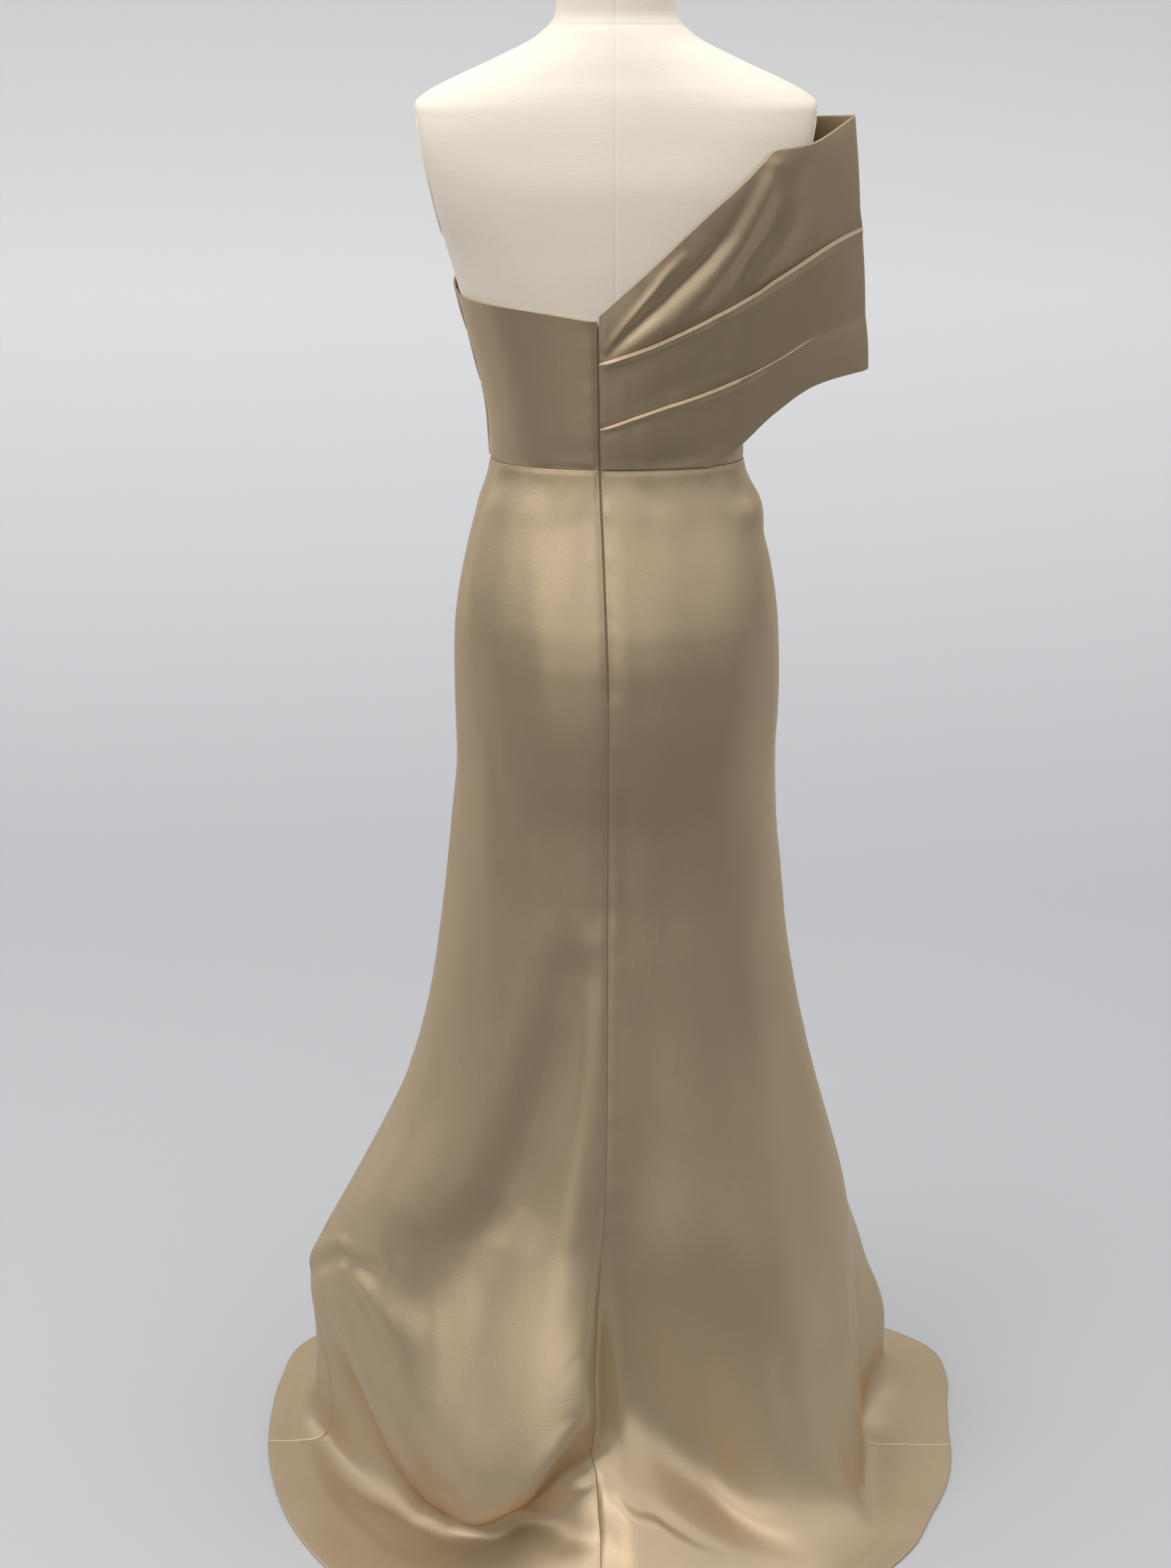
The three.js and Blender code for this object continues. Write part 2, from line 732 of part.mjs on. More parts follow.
function basePlate() {
  const top = BASE_THICKNESS;
  const rim = BASE_RADIUS - BASE_BEVEL;
  const edge = top - BASE_BEVEL;
  return turned([[0, 0], [BASE_RADIUS, 0], [BASE_RADIUS, edge], [rim, top], [0, top]], 40);
}

const dress = new THREE.Group();
const form = new THREE.Group();
const part = new THREE.Group();
part.add(dress, form);

function addPiece(group, name, geometry, finish) {
  const piece = new THREE.Mesh(geometry, new THREE.MeshStandardMaterial(COLOURS[finish]));
  piece.name = name;
  group.add(piece);
}

addPiece(dress, "bodice_back_left", bodiceBackLeft(), "satin");
addPiece(dress, "bodice_back_right", bodiceBackRight(), "satin");
addPiece(dress, "bodice_front", bodiceFront(), "satin");
addPiece(dress, "drape_back", drapeBack(), "satin");
addPiece(dress, "drape_front", drapeFront(), "satin");
addPiece(dress, "skirt_back_left", skirtBackLeft(), "satin");
addPiece(dress, "skirt_back_right", skirtBackRight(), "satin");
addPiece(dress, "skirt_front", skirtFront(), "satin");
addPiece(dress, "zip_strip", zipStrip(), "zip");
addPiece(form, "form_torso", formTorso(), "linen");
addPiece(form, "armhole_plate_left", armholePlate(1), "linen");
addPiece(form, "armhole_plate_right", armholePlate(-1), "linen");
addPiece(form, "neck_cap", neckCap(), "linen");
addPiece(form, "pole_collar", poleCollar(), "steel");
addPiece(form, "pole", pole(), "steel");
addPiece(form, "base_plate", basePlate(), "steel");

export default part;
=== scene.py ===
# One-shoulder evening dress with a pleated drape, standing on a limbless dress form.
# +Z is up, the front faces -Y and the drape is on the -X side, the wearer's right.
# Shapes are worked out in millimetres, on polar rings: angle 0 points to the back (+Y)
# and angle 90 to the wearer's left (+X). Meshes, lights and the camera are in metres.
import math

import bpy
import numpy as np
from mathutils import Matrix, Vector


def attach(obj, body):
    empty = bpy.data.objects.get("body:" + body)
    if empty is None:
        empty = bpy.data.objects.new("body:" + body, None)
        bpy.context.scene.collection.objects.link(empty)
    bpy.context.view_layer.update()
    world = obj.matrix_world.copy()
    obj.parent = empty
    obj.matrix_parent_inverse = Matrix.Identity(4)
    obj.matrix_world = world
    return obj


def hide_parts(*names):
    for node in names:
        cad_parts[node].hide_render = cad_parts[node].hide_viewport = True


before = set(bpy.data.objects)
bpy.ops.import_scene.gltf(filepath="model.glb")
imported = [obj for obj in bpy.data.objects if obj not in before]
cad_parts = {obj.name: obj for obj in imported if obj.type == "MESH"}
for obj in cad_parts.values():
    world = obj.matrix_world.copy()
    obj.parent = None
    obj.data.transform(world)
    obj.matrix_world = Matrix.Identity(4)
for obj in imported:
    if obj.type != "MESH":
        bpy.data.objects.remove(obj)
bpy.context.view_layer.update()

MM = 0.001

# Heights above the floor
WAIST = 1057.0
NECK_TOP = 1500.0
FORM_BOTTOM = 770.0
NECK_SEAM = 1449.0
ZIP_END = 832.0
SLIT_CLOSED = 847.0
SLIT_OPEN = 855.0
ZIP_TOP = 1189.0
RING_END = 300.0
RING_LEAD = 24.0
HEM_HEIGHT = 2.4
INNER_HEIGHT = 0.4

# Layers over the figure, outer faces measured from its surface
SEAM_GAP = 0.3
BASE_OUT = 2.4
BASE_WALL = 1.1
BACK_OUT = 3.0
BACK_WALL = 1.6
DRAPE_OUT = 4.8
DRAPE_WALL = 1.6
SKIRT_OUT = 3.4
SKIRT_WALL = 1.7
ZIP_OUT = 1.5
ZIP_WALL = 1.2
ZIP_WIDTH = 4.0
ZIP_SPACE = 2.2

# Armhole cut of the form
CUT_FOOT_HEIGHT = 1240.0
CUT_FOOT_WIDTH = 152.0
CUT_SLOPE = 0.216
PLATE_CENTRE_HEIGHT = 1316.0
PLATE_HALF_HEIGHT = 56.0
PLATE_HALF_DEPTH = 36.0
PLATE_THICKNESS = 3.0

# Bust of the figure
BUST_HEIGHT = 1225.0
BUST_ANGLE = 37.0
BUST_SPREAD_ANGLE = 22.0
BUST_SPREAD_HEIGHT = 55.0
BUST_RISE = 15.0

# Outer fold of the drape
FOLD_LOW_HEIGHT = 1139.0
FOLD_LOW_OUT = 237.0
FOLD_HIGH_HEIGHT = 1367.0
FOLD_HIGH_OUT = 219.0
FOLD_RADIUS = 4.0

# Seams
LEFT_SEAM = 92.0
RIGHT_SEAM = -92.0
FOLD_SEAM = -90.0
BODICE_FOOT = WAIST + SEAM_GAP / 2
SEAM_RADIUS = 120.0
SEAM_ANGLE = math.degrees(SEAM_GAP / 2 / SEAM_RADIUS)
GROOVE_DEPTH = 1.3
GROOVE_WIDTH = 2.4
PUCKER = 0.2
PUCKER_REACH = 5.0
PUCKER_SHIFT = 31.0
EDGE_BULGE = 0.06

# Figure and upper skirt: height, left, right, back, front, squareness
FIGURE = [
    (300, 266, 238, 160, 226, 2.2),
    (350, 240, 223, 149, 206, 2.2),
    (410, 212, 206, 138.5, 184, 2.2),
    (470, 192, 191, 130.5, 164, 2.2),
    (530, 178, 178, 124.5, 146, 2.2),
    (590, 168, 168, 120, 132, 2.2),
    (650, 160, 162, 116, 120, 2.2),
    (710, 154, 156, 115, 111, 2.25),
    (770, 149, 154, 119, 108, 2.3),
    (830, 150, 156, 122.5, 108, 2.25),
    (868, 150, 155, 121.8, 107, 2.22),
    (900, 149, 153, 118.5, 106, 2.2),
    (930, 145.5, 149.5, 112.3, 104, 2.2),
    (960, 140, 144, 104.8, 101, 2.2),
    (1013, 127, 131, 91, 94, 2.2),
    (1057, 115, 119, 83, 88, 2.25),
    (1091, 116, 118, 86, 91, 2.3),
    (1139, 125, 126, 90, 98, 2.35),
    (1186, 137, 137, 94, 104, 2.45),
    (1240, 152, 152, 99, 106, 2.55),
    (1300, 176, 176, 101, 98, 2.6),
    (1352, 189, 189, 94, 84, 2.6),
    (1376, 187, 187, 89, 77, 2.5),
    (1390, 173, 173, 85, 72, 2.35),
    (1402, 150, 150, 80, 68, 2.25),
    (1421, 108, 108, 72, 62, 2.15),
    (1441, 70, 70, 61, 58, 2.05),
    (1459, 55, 55, 50, 57, 2),
    (1500, 52, 52, 46, 57, 2),
]

# Centre-back seam: height, shift towards the wearer's left
CENTRE_BACK = [
    (0, 8), (110, 15), (230, 10), (450, 5), (830, 5),
    (960, 9), (1057, 13), (1125, 14), (1193, 15),
]

# Top edge of the plain bodice, back and front: angle, height
TOP_EDGE = [(-92, 1230), (-45, 1206), (0, 1192), (9, 1193), (45, 1203), (92, 1213)]
FRONT_TOP_EDGE = [(92, 1205), (135, 1238), (180, 1262), (225, 1260), (268, 1230)]

# Lines of the drape: angle, lower edge, second pleat, first pleat, upper edge
DRAPE_BACK = [
    (-90, 1139, 1190, 1271, 1370),
    (-82, 1127, 1174, 1257, 1357),
    (-74, 1104, 1156, 1240, 1348),
    (-66, 1080, 1145, 1226, 1344.5),
    (-61.5, 1069, 1140, 1218, 1343),
    (-58, 1063, 1137, 1213, 1334),
    (-52, 1057, 1132, 1205, 1317),
    (-43, 1057, 1126, 1195, 1294),
    (-20, 1057, 1113, 1174, 1245),
    (10, 1057, 1095, 1155, 1195),
]
DRAPE_FRONT = [
    (-268, 1057, 1122, 1168, 1214),
    (-240, 1057, 1130, 1184, 1238),
    (-210, 1057, 1142, 1204, 1266),
    (-180, 1057, 1152, 1222, 1290),
    (-150, 1057, 1160, 1236, 1316),
    (-122, 1062, 1168, 1248, 1352),
    (-106, 1104, 1178, 1258, 1366),
    (-90, 1139, 1190, 1271, 1370),
]

# How far each pleat laps over the cloth above it: line, lap, rise, and the degrees from
# the outer fold between which it fades in
PLEAT_LAPS = [
    (1, 4.0, 4.0, 6, 30),
    (2, 5.0, 4.4, -9, -5),
]
PLEAT_GROOVE = 0.8

# A pleat's edge from its own cloth to the cloth that comes out behind it: shares of its
# lap and of its rise
PLEAT_EDGE = [
    (-0.55, 1.0), (-0.25, 0.97), (-0.07, 0.88), (0.0, 0.76),
    (-0.04, 0.62), (-0.25, 0.46), (-0.7, 0.32), (-1.3, 0.2),
]
PLEAT_FOOT_LAP = -1.5
FADED_EDGE = 1.2

# Rise of the cloth towards a pleat: share and power of its slope and share of its lip, then
# where in a band the lip starts, the cloth leans into the lap, and the next pleat's foot ends
SLOPE_SHARE = 0.6
SLOPE_POWER = 1.4
LIP_SHARE = 0.4
LIP_START = 0.82
LEAN_START = 0.85
FOOT_END = 0.18

# Fullness and waves of the drape, and the roll at its seam ends: size, spread in degrees
DRAPE_PUFF = 1.0
DRAPE_DRIFT = 0.4
DRAPE_DRIFT_TURN = 1.7
END_ROLL = (-1.6, 1.2)

# Creases of the drape, as soft troughs or ridges: width, rise, then angles and heights
DRAPE_CREASES = [
    (4.5, -4, [
        (5, 1162), (-11, 1188), (-24, 1210), (-34, 1231),
        (-41, 1247), (-48, 1270), (-54, 1306), (-59, 1336),
    ]),
    (8, 3.4, [
        (4, 1157), (-13, 1176), (-28, 1193), (-41, 1222),
        (-50, 1256), (-54, 1286), (-57, 1312), (-59, 1330),
    ]),
    (3.2, 2.4, [(4, 1168), (-4, 1187), (-11, 1203), (-18, 1219), (-24, 1235), (-31, 1250)]),
    (8, -4, [(-47, 1200), (-53, 1219), (-57, 1243), (-62, 1268), (-64, 1294), (-64, 1314)]),
    (7, 2, [(-60, 1232), (-66, 1256), (-71, 1284)]),
    (9, -1.5, [(-10, 1116), (-40, 1140), (-62, 1160)]),
    (6, -1.2, [(-14, 1062), (-36, 1067), (-52, 1076), (-62, 1090)]),
    (14, 6, [(-108, 1314), (-135, 1268), (-160, 1212)]),
    (11, -5, [(-114, 1286), (-140, 1245), (-168, 1198)]),
    (12, 4, [(-172, 1254), (-205, 1226), (-238, 1186)]),
    (9, -4, [(-180, 1268), (-210, 1242), (-244, 1200)]),
    (10, -2, [(-120, 1176), (-160, 1166), (-210, 1148)]),
]

# Folds of the skirt: angle at knee height, angle at the floor, spread, rise, height where it fades in
SKIRT_FOLDS = [
    (3, 18, 9, 11, 700),
    (16, 48, 10, -13, 660),
    (38, 74, 12, 8, 600),
    (-12, -9, 9, -8, 480),
    (-38, -46, 14, 8, 580),
    (-66, -72, 12, -8, 540),
    (-128, -126, 14, 10, 560),
    (-152, -150, 12, -12, 520),
    (-178, -179, 16, 11, 620),
    (152, 150, 12, -12, 500),
    (126, 128, 13, 10, 560),
]
KNEE = 620.0
FOLD_FULL = 260.0
RESTING_LIFT = 1.0
PAST_HEM = 30.0

# Small puff at the right end of the waist seam: angle, height, spread in degrees and height, rise
HIP_PUFF = (-88, 1014, 12, 14, 5)

# Where the skirt breaks on the floor:
# angle, ridge radius, ridge height, tuck radius, tuck height, hem radius
FLOOR_BREAK = [
    (1, 182, 138, 214, 86, 388),
    (8, 221, 152, 214, 74, 388),
    (21, 254, 96, 225, 40, 382),
    (34, 260, 64, 228, 12, 367),
    (42, 256, 74, 236, 8, 362),
    (50, 252, 94, 244, 6, 358),
    (60, 256, 124, 250, 6, 355),
    (70, 270, 168, 262, 8, 354),
    (80, 288, 204, 276, 10, 356),
    (90, 312, 204, 296, 12, 363),
    (100, 322, 192, 328, 24, 374),
    (112, 324, 168, 342, 18, 396),
    (124, 320, 136, 336, 16, 420),
    (138, 308, 104, 322, 14, 410),
    (160, 275, 72, 290, 14, 368),
    (185, 262, 60, 282, 12, 352),
    (210, 285, 76, 294, 14, 372),
    (226, 306, 84, 312, 14, 410),
    (238, 344, 92, 350, 24, 424),
    (247, 322, 106, 326, 38, 404),
    (255, 288, 88, 290, 26, 378),
    (264, 262, 56, 268, 10, 362),
    (280, 262, 46, 268, 8, 352),
    (292, 262, 40, 278, 8, 346),
    (302, 268, 44, 300, 8, 350),
    (316, 252, 46, 304, 9, 350),
    (330, 186, 66, 266, 22, 350),
    (346, 166, 108, 246, 50, 364),
    (354, 166, 124, 236, 66, 378),
]

# Creases of the skirt, as soft troughs or ridges: width, rise, then angles and levels.
# A level is a height down to the end of the rings and runs on from there to 0 at the hem.
SKIRT_CREASES = [
    (20, -12, [(18, 574), (32, 407), (36, 347), (46, 293), (54, 277), (66, 268)]),
    (5, -8, [(93, 222), (80, 257), (63, 282)]),
    (5, 6, [(93, 231), (80, 266), (66, 284)]),
    (7, 6, [(84, 234), (74, 261), (65, 257), (51, 261)]),
    (10, 5, [(61, 250), (53, 241), (38, 241), (32, 236), (34, 216)]),
    (12, -7, [(0, 340), (-2, 268), (-4, 239)]),
    (6, 4, [(11, 257), (9, 244), (8, 232), (12, 224)]),
    (12, 4, [(8, 607), (12, 427), (14, 291)]),
    (7, 6, [(-48, 264), (-56, 264), (-77, 266)]),
    (7, -7, [(-52, 259), (-60, 259), (-81, 259)]),
    (5, -5, [(-45, 266), (-47, 261), (-50, 257)]),
    (7, -6, [(30, 183), (21, 156), (10, 124), (1, 115)]),
    (9, 8, [(90, 236), (80, 224), (68, 212), (58, 200), (48, 188)]),
    (13, -13, [(96, 196), (80, 182), (66, 172), (52, 166)]),
    (10, 7, [(46, 196), (34, 204), (20, 214), (8, 226)]),
    (11, -12, [(46, 170), (34, 172), (20, 176), (6, 184)]),
    (6, 3, [(22, 198), (10, 162), (4, 150)]),
    (5, -3, [(2, 146), (-10, 162), (-23, 150)]),
    (6, 3, [(0, 137), (-10, 150), (-17, 137)]),
    (7, -0.8, [(5, 1040), (12, 1020), (22, 1008)]),
    (7, -0.7, [(-10, 1044), (-22, 1030), (-34, 1026)]),
    (6, -1.6, [(-88, 1046), (-76, 1030), (-62, 1024)]),
    (8, -1.0, [(-92, 990), (-84, 986), (-70, 992)]),
    (7, -0.8, [(60, 1046), (72, 1034), (84, 1030)]),
    (18, -9, [(150, 560), (160, 380), (172, 280), (190, 240)]),
    (14, 6, [(190, 600), (200, 420), (214, 300)]),
    (7, -5, [(122, 250), (132, 236), (142, 240)]),
    (7, -5, [(224, 262), (236, 246), (248, 250)]),
    (6, -4, [(160, 170), (176, 150), (196, 158)]),
    (8, 4, [(128, 210), (140, 190), (152, 196)]),
]
DEGREE_WIDTH = 2.6
CREASE_END = 0.05

# Waist seam, side seams on the train, how deep cloth may dip on the form and below it, and
# how far rows are evened out round the end of the rings
WAIST_GROOVE = 0.7
TRAIN_SEAM_FADE = 0.85
TRAIN_LEVELS = (150, 300)
TRAIN_ANGLES = (30, 80)
ON_FORM = 760.0
DEEPEST_ON_FORM = -1.4
DEEPEST_BELOW = -30.0
EASED_SPREAD = 50.0
EASED_PASSES = 70

# Slow waves of the satin: waves round the figure, waves per metre of height, turn, rise
DRIFT = [
    (5, 1.3, 0.4, 0.8),
    (9, -2.1, 1.9, 0.6),
    (14, 1.7, 4.1, 0.35),
    (21, -3.4, 2.6, 0.22),
]
BODICE_DRIFT = 0.5
BODICE_DRIFT_REACH = 25.0

# Spacing of the mesh on the bodice, beside the drape's fold and down the skirt
BODICE_STEP = 3.2
NEAR_FOLD = np.array([0.4, 0.8, 1.2, 1.7, 2.4, 3.2])
BELOW_WAIST = np.array([0, 0.8, 1.8, 3, 4.6, 6.8, 10])
RING_ROWS = 112
FLOOR_ROWS = (34, 26, 18, 18)
SKIRT_WIDTH = 330.0

# Seams of the form: angles, depth, spread of the long ones and of the neck seam
FORM_SEAMS = (0, 90, 180, 270)
FORM_SEAM_DEPTH = 0.55
LONG_SEAM_SPREAD = 0.9
NECK_SEAM_SPREAD = 0.8

# Zip: depths under its outer face, then the coil's pitch, length, radius, sides, lean, and
# the shares of length and radius that shape its ends
TAPE_INSET = 0.3
COIL_INSET = 0.42
COIL_PITCH = 1.4
COIL_LENGTH = 1.5
COIL_RADIUS = 0.34
COIL_SIDES = 6
COIL_LEAN = 0.2
COIL_ENDS = ((-1, 0.4), (-0.8, 1), (0.8, 1), (1, 0.4))


def slopes(table):
    """Slopes of smooth curves that never overshoot their rows, for each column."""
    step = np.diff(table[:, 0])[:, None]
    rate = np.diff(table, axis=0) / step
    low, high = rate[:-1], rate[1:]
    product = low * high
    total = np.where(np.abs(low + high) < 1e-12, 1.0, low + high)
    inner = np.where(product > 0, 2 * product / total, 0.0)
    return np.vstack([rate[:1], inner, rate[-1:]])


def row_at(table, keys):
    """All columns of a table at each key, on the smooth curve through its rows."""
    table = np.asarray(table, float)
    keys = np.asarray(keys, float)
    slope = slopes(table)
    row = np.clip(np.searchsorted(table[:, 0], keys) - 1, 0, len(table) - 2)
    span = (table[row + 1, 0] - table[row, 0])[..., None]
    part = np.clip((keys - table[row, 0])[..., None] / span, 0, 1)
    square = part * part
    cube = square * part
    value = (2 * cube - 3 * square + 1) * table[row]
    value = value + (cube - 2 * square + part) * span * slope[row]
    value = value + (3 * square - 2 * cube) * table[row + 1]
    return value + (cube - square) * span * slope[row + 1]


def wrapped(table):
    """The same rows with a turn of 360 degrees closed at both ends."""
    table = np.asarray(table, float)
    turn = np.zeros(table.shape[1])
    turn[0] = 360
    return np.vstack([table[-1:] - turn, table, table[:1] + turn, table[1:2] + turn])


FLOOR_RING = wrapped(FLOOR_BREAK)


def bell(distance, spread):
    return np.exp(-0.5 * (distance / spread) ** 2)


def turn_between(angle, other):
    return (angle - other + 180) % 360 - 180


def smooth_step(start, end, value):
    part = np.clip((value - start) / (end - start), 0, 1)
    return part * part * (3 - 2 * part)


def mix(low, high, part):
    return low + (high - low) * part


def matched(angle, height):
    return np.broadcast_arrays(np.asarray(angle, float), np.asarray(height, float))


def polar(angle, radius, height):
    turn = np.radians(angle)
    parts = np.broadcast_arrays(radius * np.sin(turn), radius * np.cos(turn), height)
    return np.stack(parts, axis=-1).astype(float)


def figure_radius(angle, height):
    """Radius of the figure in one direction at one height."""
    angle, height = matched(angle, height)
    _, left, right, back, front, squareness = np.moveaxis(row_at(FIGURE, height), -1, 0)
    sideways = np.sin(np.radians(angle))
    backwards = np.cos(np.radians(angle))
    across = np.abs(sideways) / np.where(sideways > 0, left, right)
    along = np.abs(backwards) / np.where(backwards > 0, back, front)
    oval = (across**squareness + along**squareness) ** (-1 / squareness)
    side = np.abs(turn_between(angle, 180))
    bust = BUST_RISE * bell(side - BUST_ANGLE, BUST_SPREAD_ANGLE)
    full = oval + bust * bell(height - BUST_HEIGHT, BUST_SPREAD_HEIGHT)
    cut_width = CUT_FOOT_WIDTH + CUT_SLOPE * (height - CUT_FOOT_HEIGHT)
    cut = cut_width / np.maximum(np.abs(sideways), 1e-6)
    return np.where(height > CUT_FOOT_HEIGHT, np.minimum(full, cut), full)


def skirt_folds(angle, height):
    fall = (KNEE - height) / (KNEE - FOLD_FULL)
    rise = 0.0
    for knee_angle, floor_angle, spread, fold_rise, fade in SKIRT_FOLDS:
        middle = mix(knee_angle, floor_angle, fall)
        strength = smooth_step(fade, FOLD_FULL, height)
        rise = rise + fold_rise * strength * bell(turn_between(angle, middle), spread)
    puff_angle, puff_height, angle_spread, height_spread, puff_rise = HIP_PUFF
    puff = bell(turn_between(angle, puff_angle), angle_spread)
    return rise + puff_rise * puff * bell(height - puff_height, height_spread)


def skirt_ring(angle, height):
    return figure_radius(angle, height) + SKIRT_OUT + skirt_folds(angle, height)


def curve_points(points, part):
    """Points on a curve through four points, between the second and the third."""
    knots = [np.zeros(points[0].shape[:-1])]
    for before, after in zip(points, points[1:]):
        knots.append(knots[-1] + np.sqrt(np.linalg.norm(after - before, axis=-1)))
    at = mix(knots[1], knots[2], part)
    level = list(points)
    for order in (1, 2, 3):
        stage = []
        for i in range(len(level) - 1):
            low = knots[1] if order == 3 else knots[i]
            high = knots[2] if order == 3 else knots[i + order]
            share = ((at - low) / (high - low))[..., None]
            stage.append(mix(level[i], level[i + 1], share))
        level = stage
    return level[0]


def floor_places(angle):
    """Places where each meridian leaves the rings, folds over and lies on the floor."""
    table = row_at(FLOOR_RING, np.asarray(angle) % 360)
    _, ridge_out, ridge_height, tuck_out, tuck_height, hem_out = np.moveaxis(table, -1, 0)
    above = RING_END + RING_LEAD
    rest_out = mix(tuck_out, hem_out, 0.5)
    return [
        polar(angle, skirt_ring(angle, above), above),
        polar(angle, skirt_ring(angle, RING_END), RING_END),
        polar(angle, ridge_out, ridge_height),
        polar(angle, tuck_out, tuck_height),
        polar(angle, rest_out, HEM_HEIGHT + RESTING_LIFT),
        polar(angle, hem_out, HEM_HEIGHT),
        polar(angle, hem_out + PAST_HEM, HEM_HEIGHT),
    ]


def skirt_row(angle, place):
    """Outer face of the skirt at one place: a height on the rings, or a count below them."""
    if place >= RING_END:
        return polar(angle, skirt_ring(angle, place), place)
    stretch = min(int(-place), 3)
    row = curve_points(floor_places(angle)[stretch : stretch + 4], -place - stretch)
    row[:, 2] = np.maximum(row[:, 2], HEM_HEIGHT)
    return row


def hull(points):
    """Corners of the convex outline round points in a plane."""
    ordered = sorted(map(tuple, points))
    outline = []
    for run in (ordered, ordered[::-1]):
        side = []
        for point in run:
            while len(side) > 1 and bends_in(side[-2], side[-1], point):
                side.pop()
            side.append(point)
        outline += side[:-1]
    return np.array(outline)


def bends_in(a, b, c):
    return (b[0] - a[0]) * (c[1] - a[1]) - (b[1] - a[1]) * (c[0] - a[0]) <= 0


TAUT_STEP = 0.5
TAUT_ANGLES = np.arange(0, 360, TAUT_STEP)
TAUT_HEIGHTS = range(1040, 1400, 12)


def taut_ring(height):
    """Radius at the taut angles of a line pulled round the figure and the outer fold."""
    rise = (height - FOLD_LOW_HEIGHT) / (FOLD_HIGH_HEIGHT - FOLD_LOW_HEIGHT)
    fold = polar(FOLD_SEAM, mix(FOLD_LOW_OUT, FOLD_HIGH_OUT, rise) - FOLD_RADIUS, 0)
    body = polar(TAUT_ANGLES, figure_radius(TAUT_ANGLES, height) + DRAPE_OUT, 0)
    bend = fold + polar(TAUT_ANGLES[::8], FOLD_RADIUS, 0)
    corners = hull(np.vstack([body, bend])[:, :2])
    angle = np.degrees(np.arctan2(corners[:, 0], corners[:, 1])) % 360
    order = np.argsort(angle)
    angle, radius = angle[order], np.hypot(*corners[order].T)
    angle = np.concatenate([angle[-1:] - 360, angle, angle[:1] + 360])
    radius = np.concatenate([radius[-1:], radius, radius[:1]])
    after = np.searchsorted(angle, TAUT_ANGLES, side="right")
    to_next = np.sin(np.radians(angle[after] - TAUT_ANGLES)) / radius[after - 1]
    to_last = np.sin(np.radians(TAUT_ANGLES - angle[after - 1])) / radius[after]
    return np.sin(np.radians(angle[after] - angle[after - 1])) / (to_next + to_last)


TAUT = np.array([[height, *taut_ring(height)] for height in TAUT_HEIGHTS])


def taut_radius(angle, height):
    """Radius of cloth pulled taut round the figure and the outer fold."""
    angle, height = matched(angle, height)
    radius = np.empty(angle.shape)
    for place in np.ndindex(angle.shape[:-1]):
        rows = row_at(TAUT, height[place])[:, 1:]
        step = angle[place] % 360 / TAUT_STEP
        low = step.astype(int) % len(TAUT_ANGLES)
        high = (low + 1) % len(TAUT_ANGLES)
        here = np.arange(len(low))
        radius[place] = mix(rows[here, low], rows[here, high], step - np.floor(step))
    return radius


def crease_rise(angle, level, creases):
    """Soft troughs and ridges along lines of places, fading out towards both ends."""
    rise = 0.0
    for width, size, line in creases:
        nearest = np.full(np.shape(angle), np.inf)
        share = np.zeros(np.shape(angle))
        steps = len(line) - 1
        for i, (start, end) in enumerate(zip(line, line[1:])):
            across = (end[0] - start[0]) * DEGREE_WIDTH
            up = end[1] - start[1]
            out_across = turn_between(angle, start[0]) * DEGREE_WIDTH
            out_up = level - start[1]
            part = np.clip((out_across * across + out_up * up) / (across**2 + up**2), 0, 1)
            miss = np.hypot(out_across - across * part, out_up - up * part)
            share = np.where(miss < nearest, (i + part) / steps, share)
            nearest = np.minimum(nearest, miss)
        taper = np.sin(np.clip(share, CREASE_END, 1 - CREASE_END) * math.pi) ** 0.5
        rise = rise + size * taper * bell(nearest, width)
    return rise


def drift(angle, height):
    """Slow uneven waves that keep a large face of satin from looking machined."""
    rise = 0.0
    for round_waves, height_waves, turn, size in DRIFT:
        phase = np.radians(angle) * round_waves + height * MM * height_waves * 2 * math.pi
        rise = rise + size * np.sin(phase + turn)
    return rise


def seam_dip(distance, along):
    """Groove beside a seam, with small uneven puckers."""
    ripple = np.sin(along / 4.3) * np.sin(along / 17.0 + 1.3) + 0.5 * np.sin(along / 7.1 + 2)
    groove = -GROOVE_DEPTH * bell(distance, GROOVE_WIDTH)
    return groove + PUCKER * ripple * bell(distance - PUCKER_REACH, PUCKER_REACH)


def centre_back_angle(height, radius):
    shift = row_at(CENTRE_BACK, height)[..., 1]
    return np.degrees(np.arcsin(shift / radius))


def half_space(height):
    """Half the space at the centre-back seam, which opens over the zip above its end."""
    return mix(SEAM_GAP / 2, ZIP_SPACE / 2, smooth_step(SLIT_CLOSED, SLIT_OPEN, height))


def centre_edge(height, radius, side):
    """Angle of the cloth's edge on one side of the centre-back seam."""
    space = np.degrees(np.arcsin(half_space(height) / radius))
    return centre_back_angle(height, radius) + side * space


def back_edge(height, side):
    return centre_edge(height, figure_radius(0.0, height), side)


def crowded(steps, size, first=0.9, growth=1.45, reach=0.2):
    """Shares of a width or height that crowd together at both ends, for seams and edges."""
    near = [0.0]
    gap = first
    while gap < size / steps and near[-1] < size * reach:
        near.append(near[-1] + gap)
        gap *= growth
    near = np.array(near) / size
    middle = np.linspace(near[-1], 1 - near[-1], max(steps, 2) + 1)[1:-1]
    return np.concatenate([near, middle, 1 - near[::-1]])


# Meshes
def add_to_scene(piece):
    bpy.context.scene.collection.objects.link(piece)


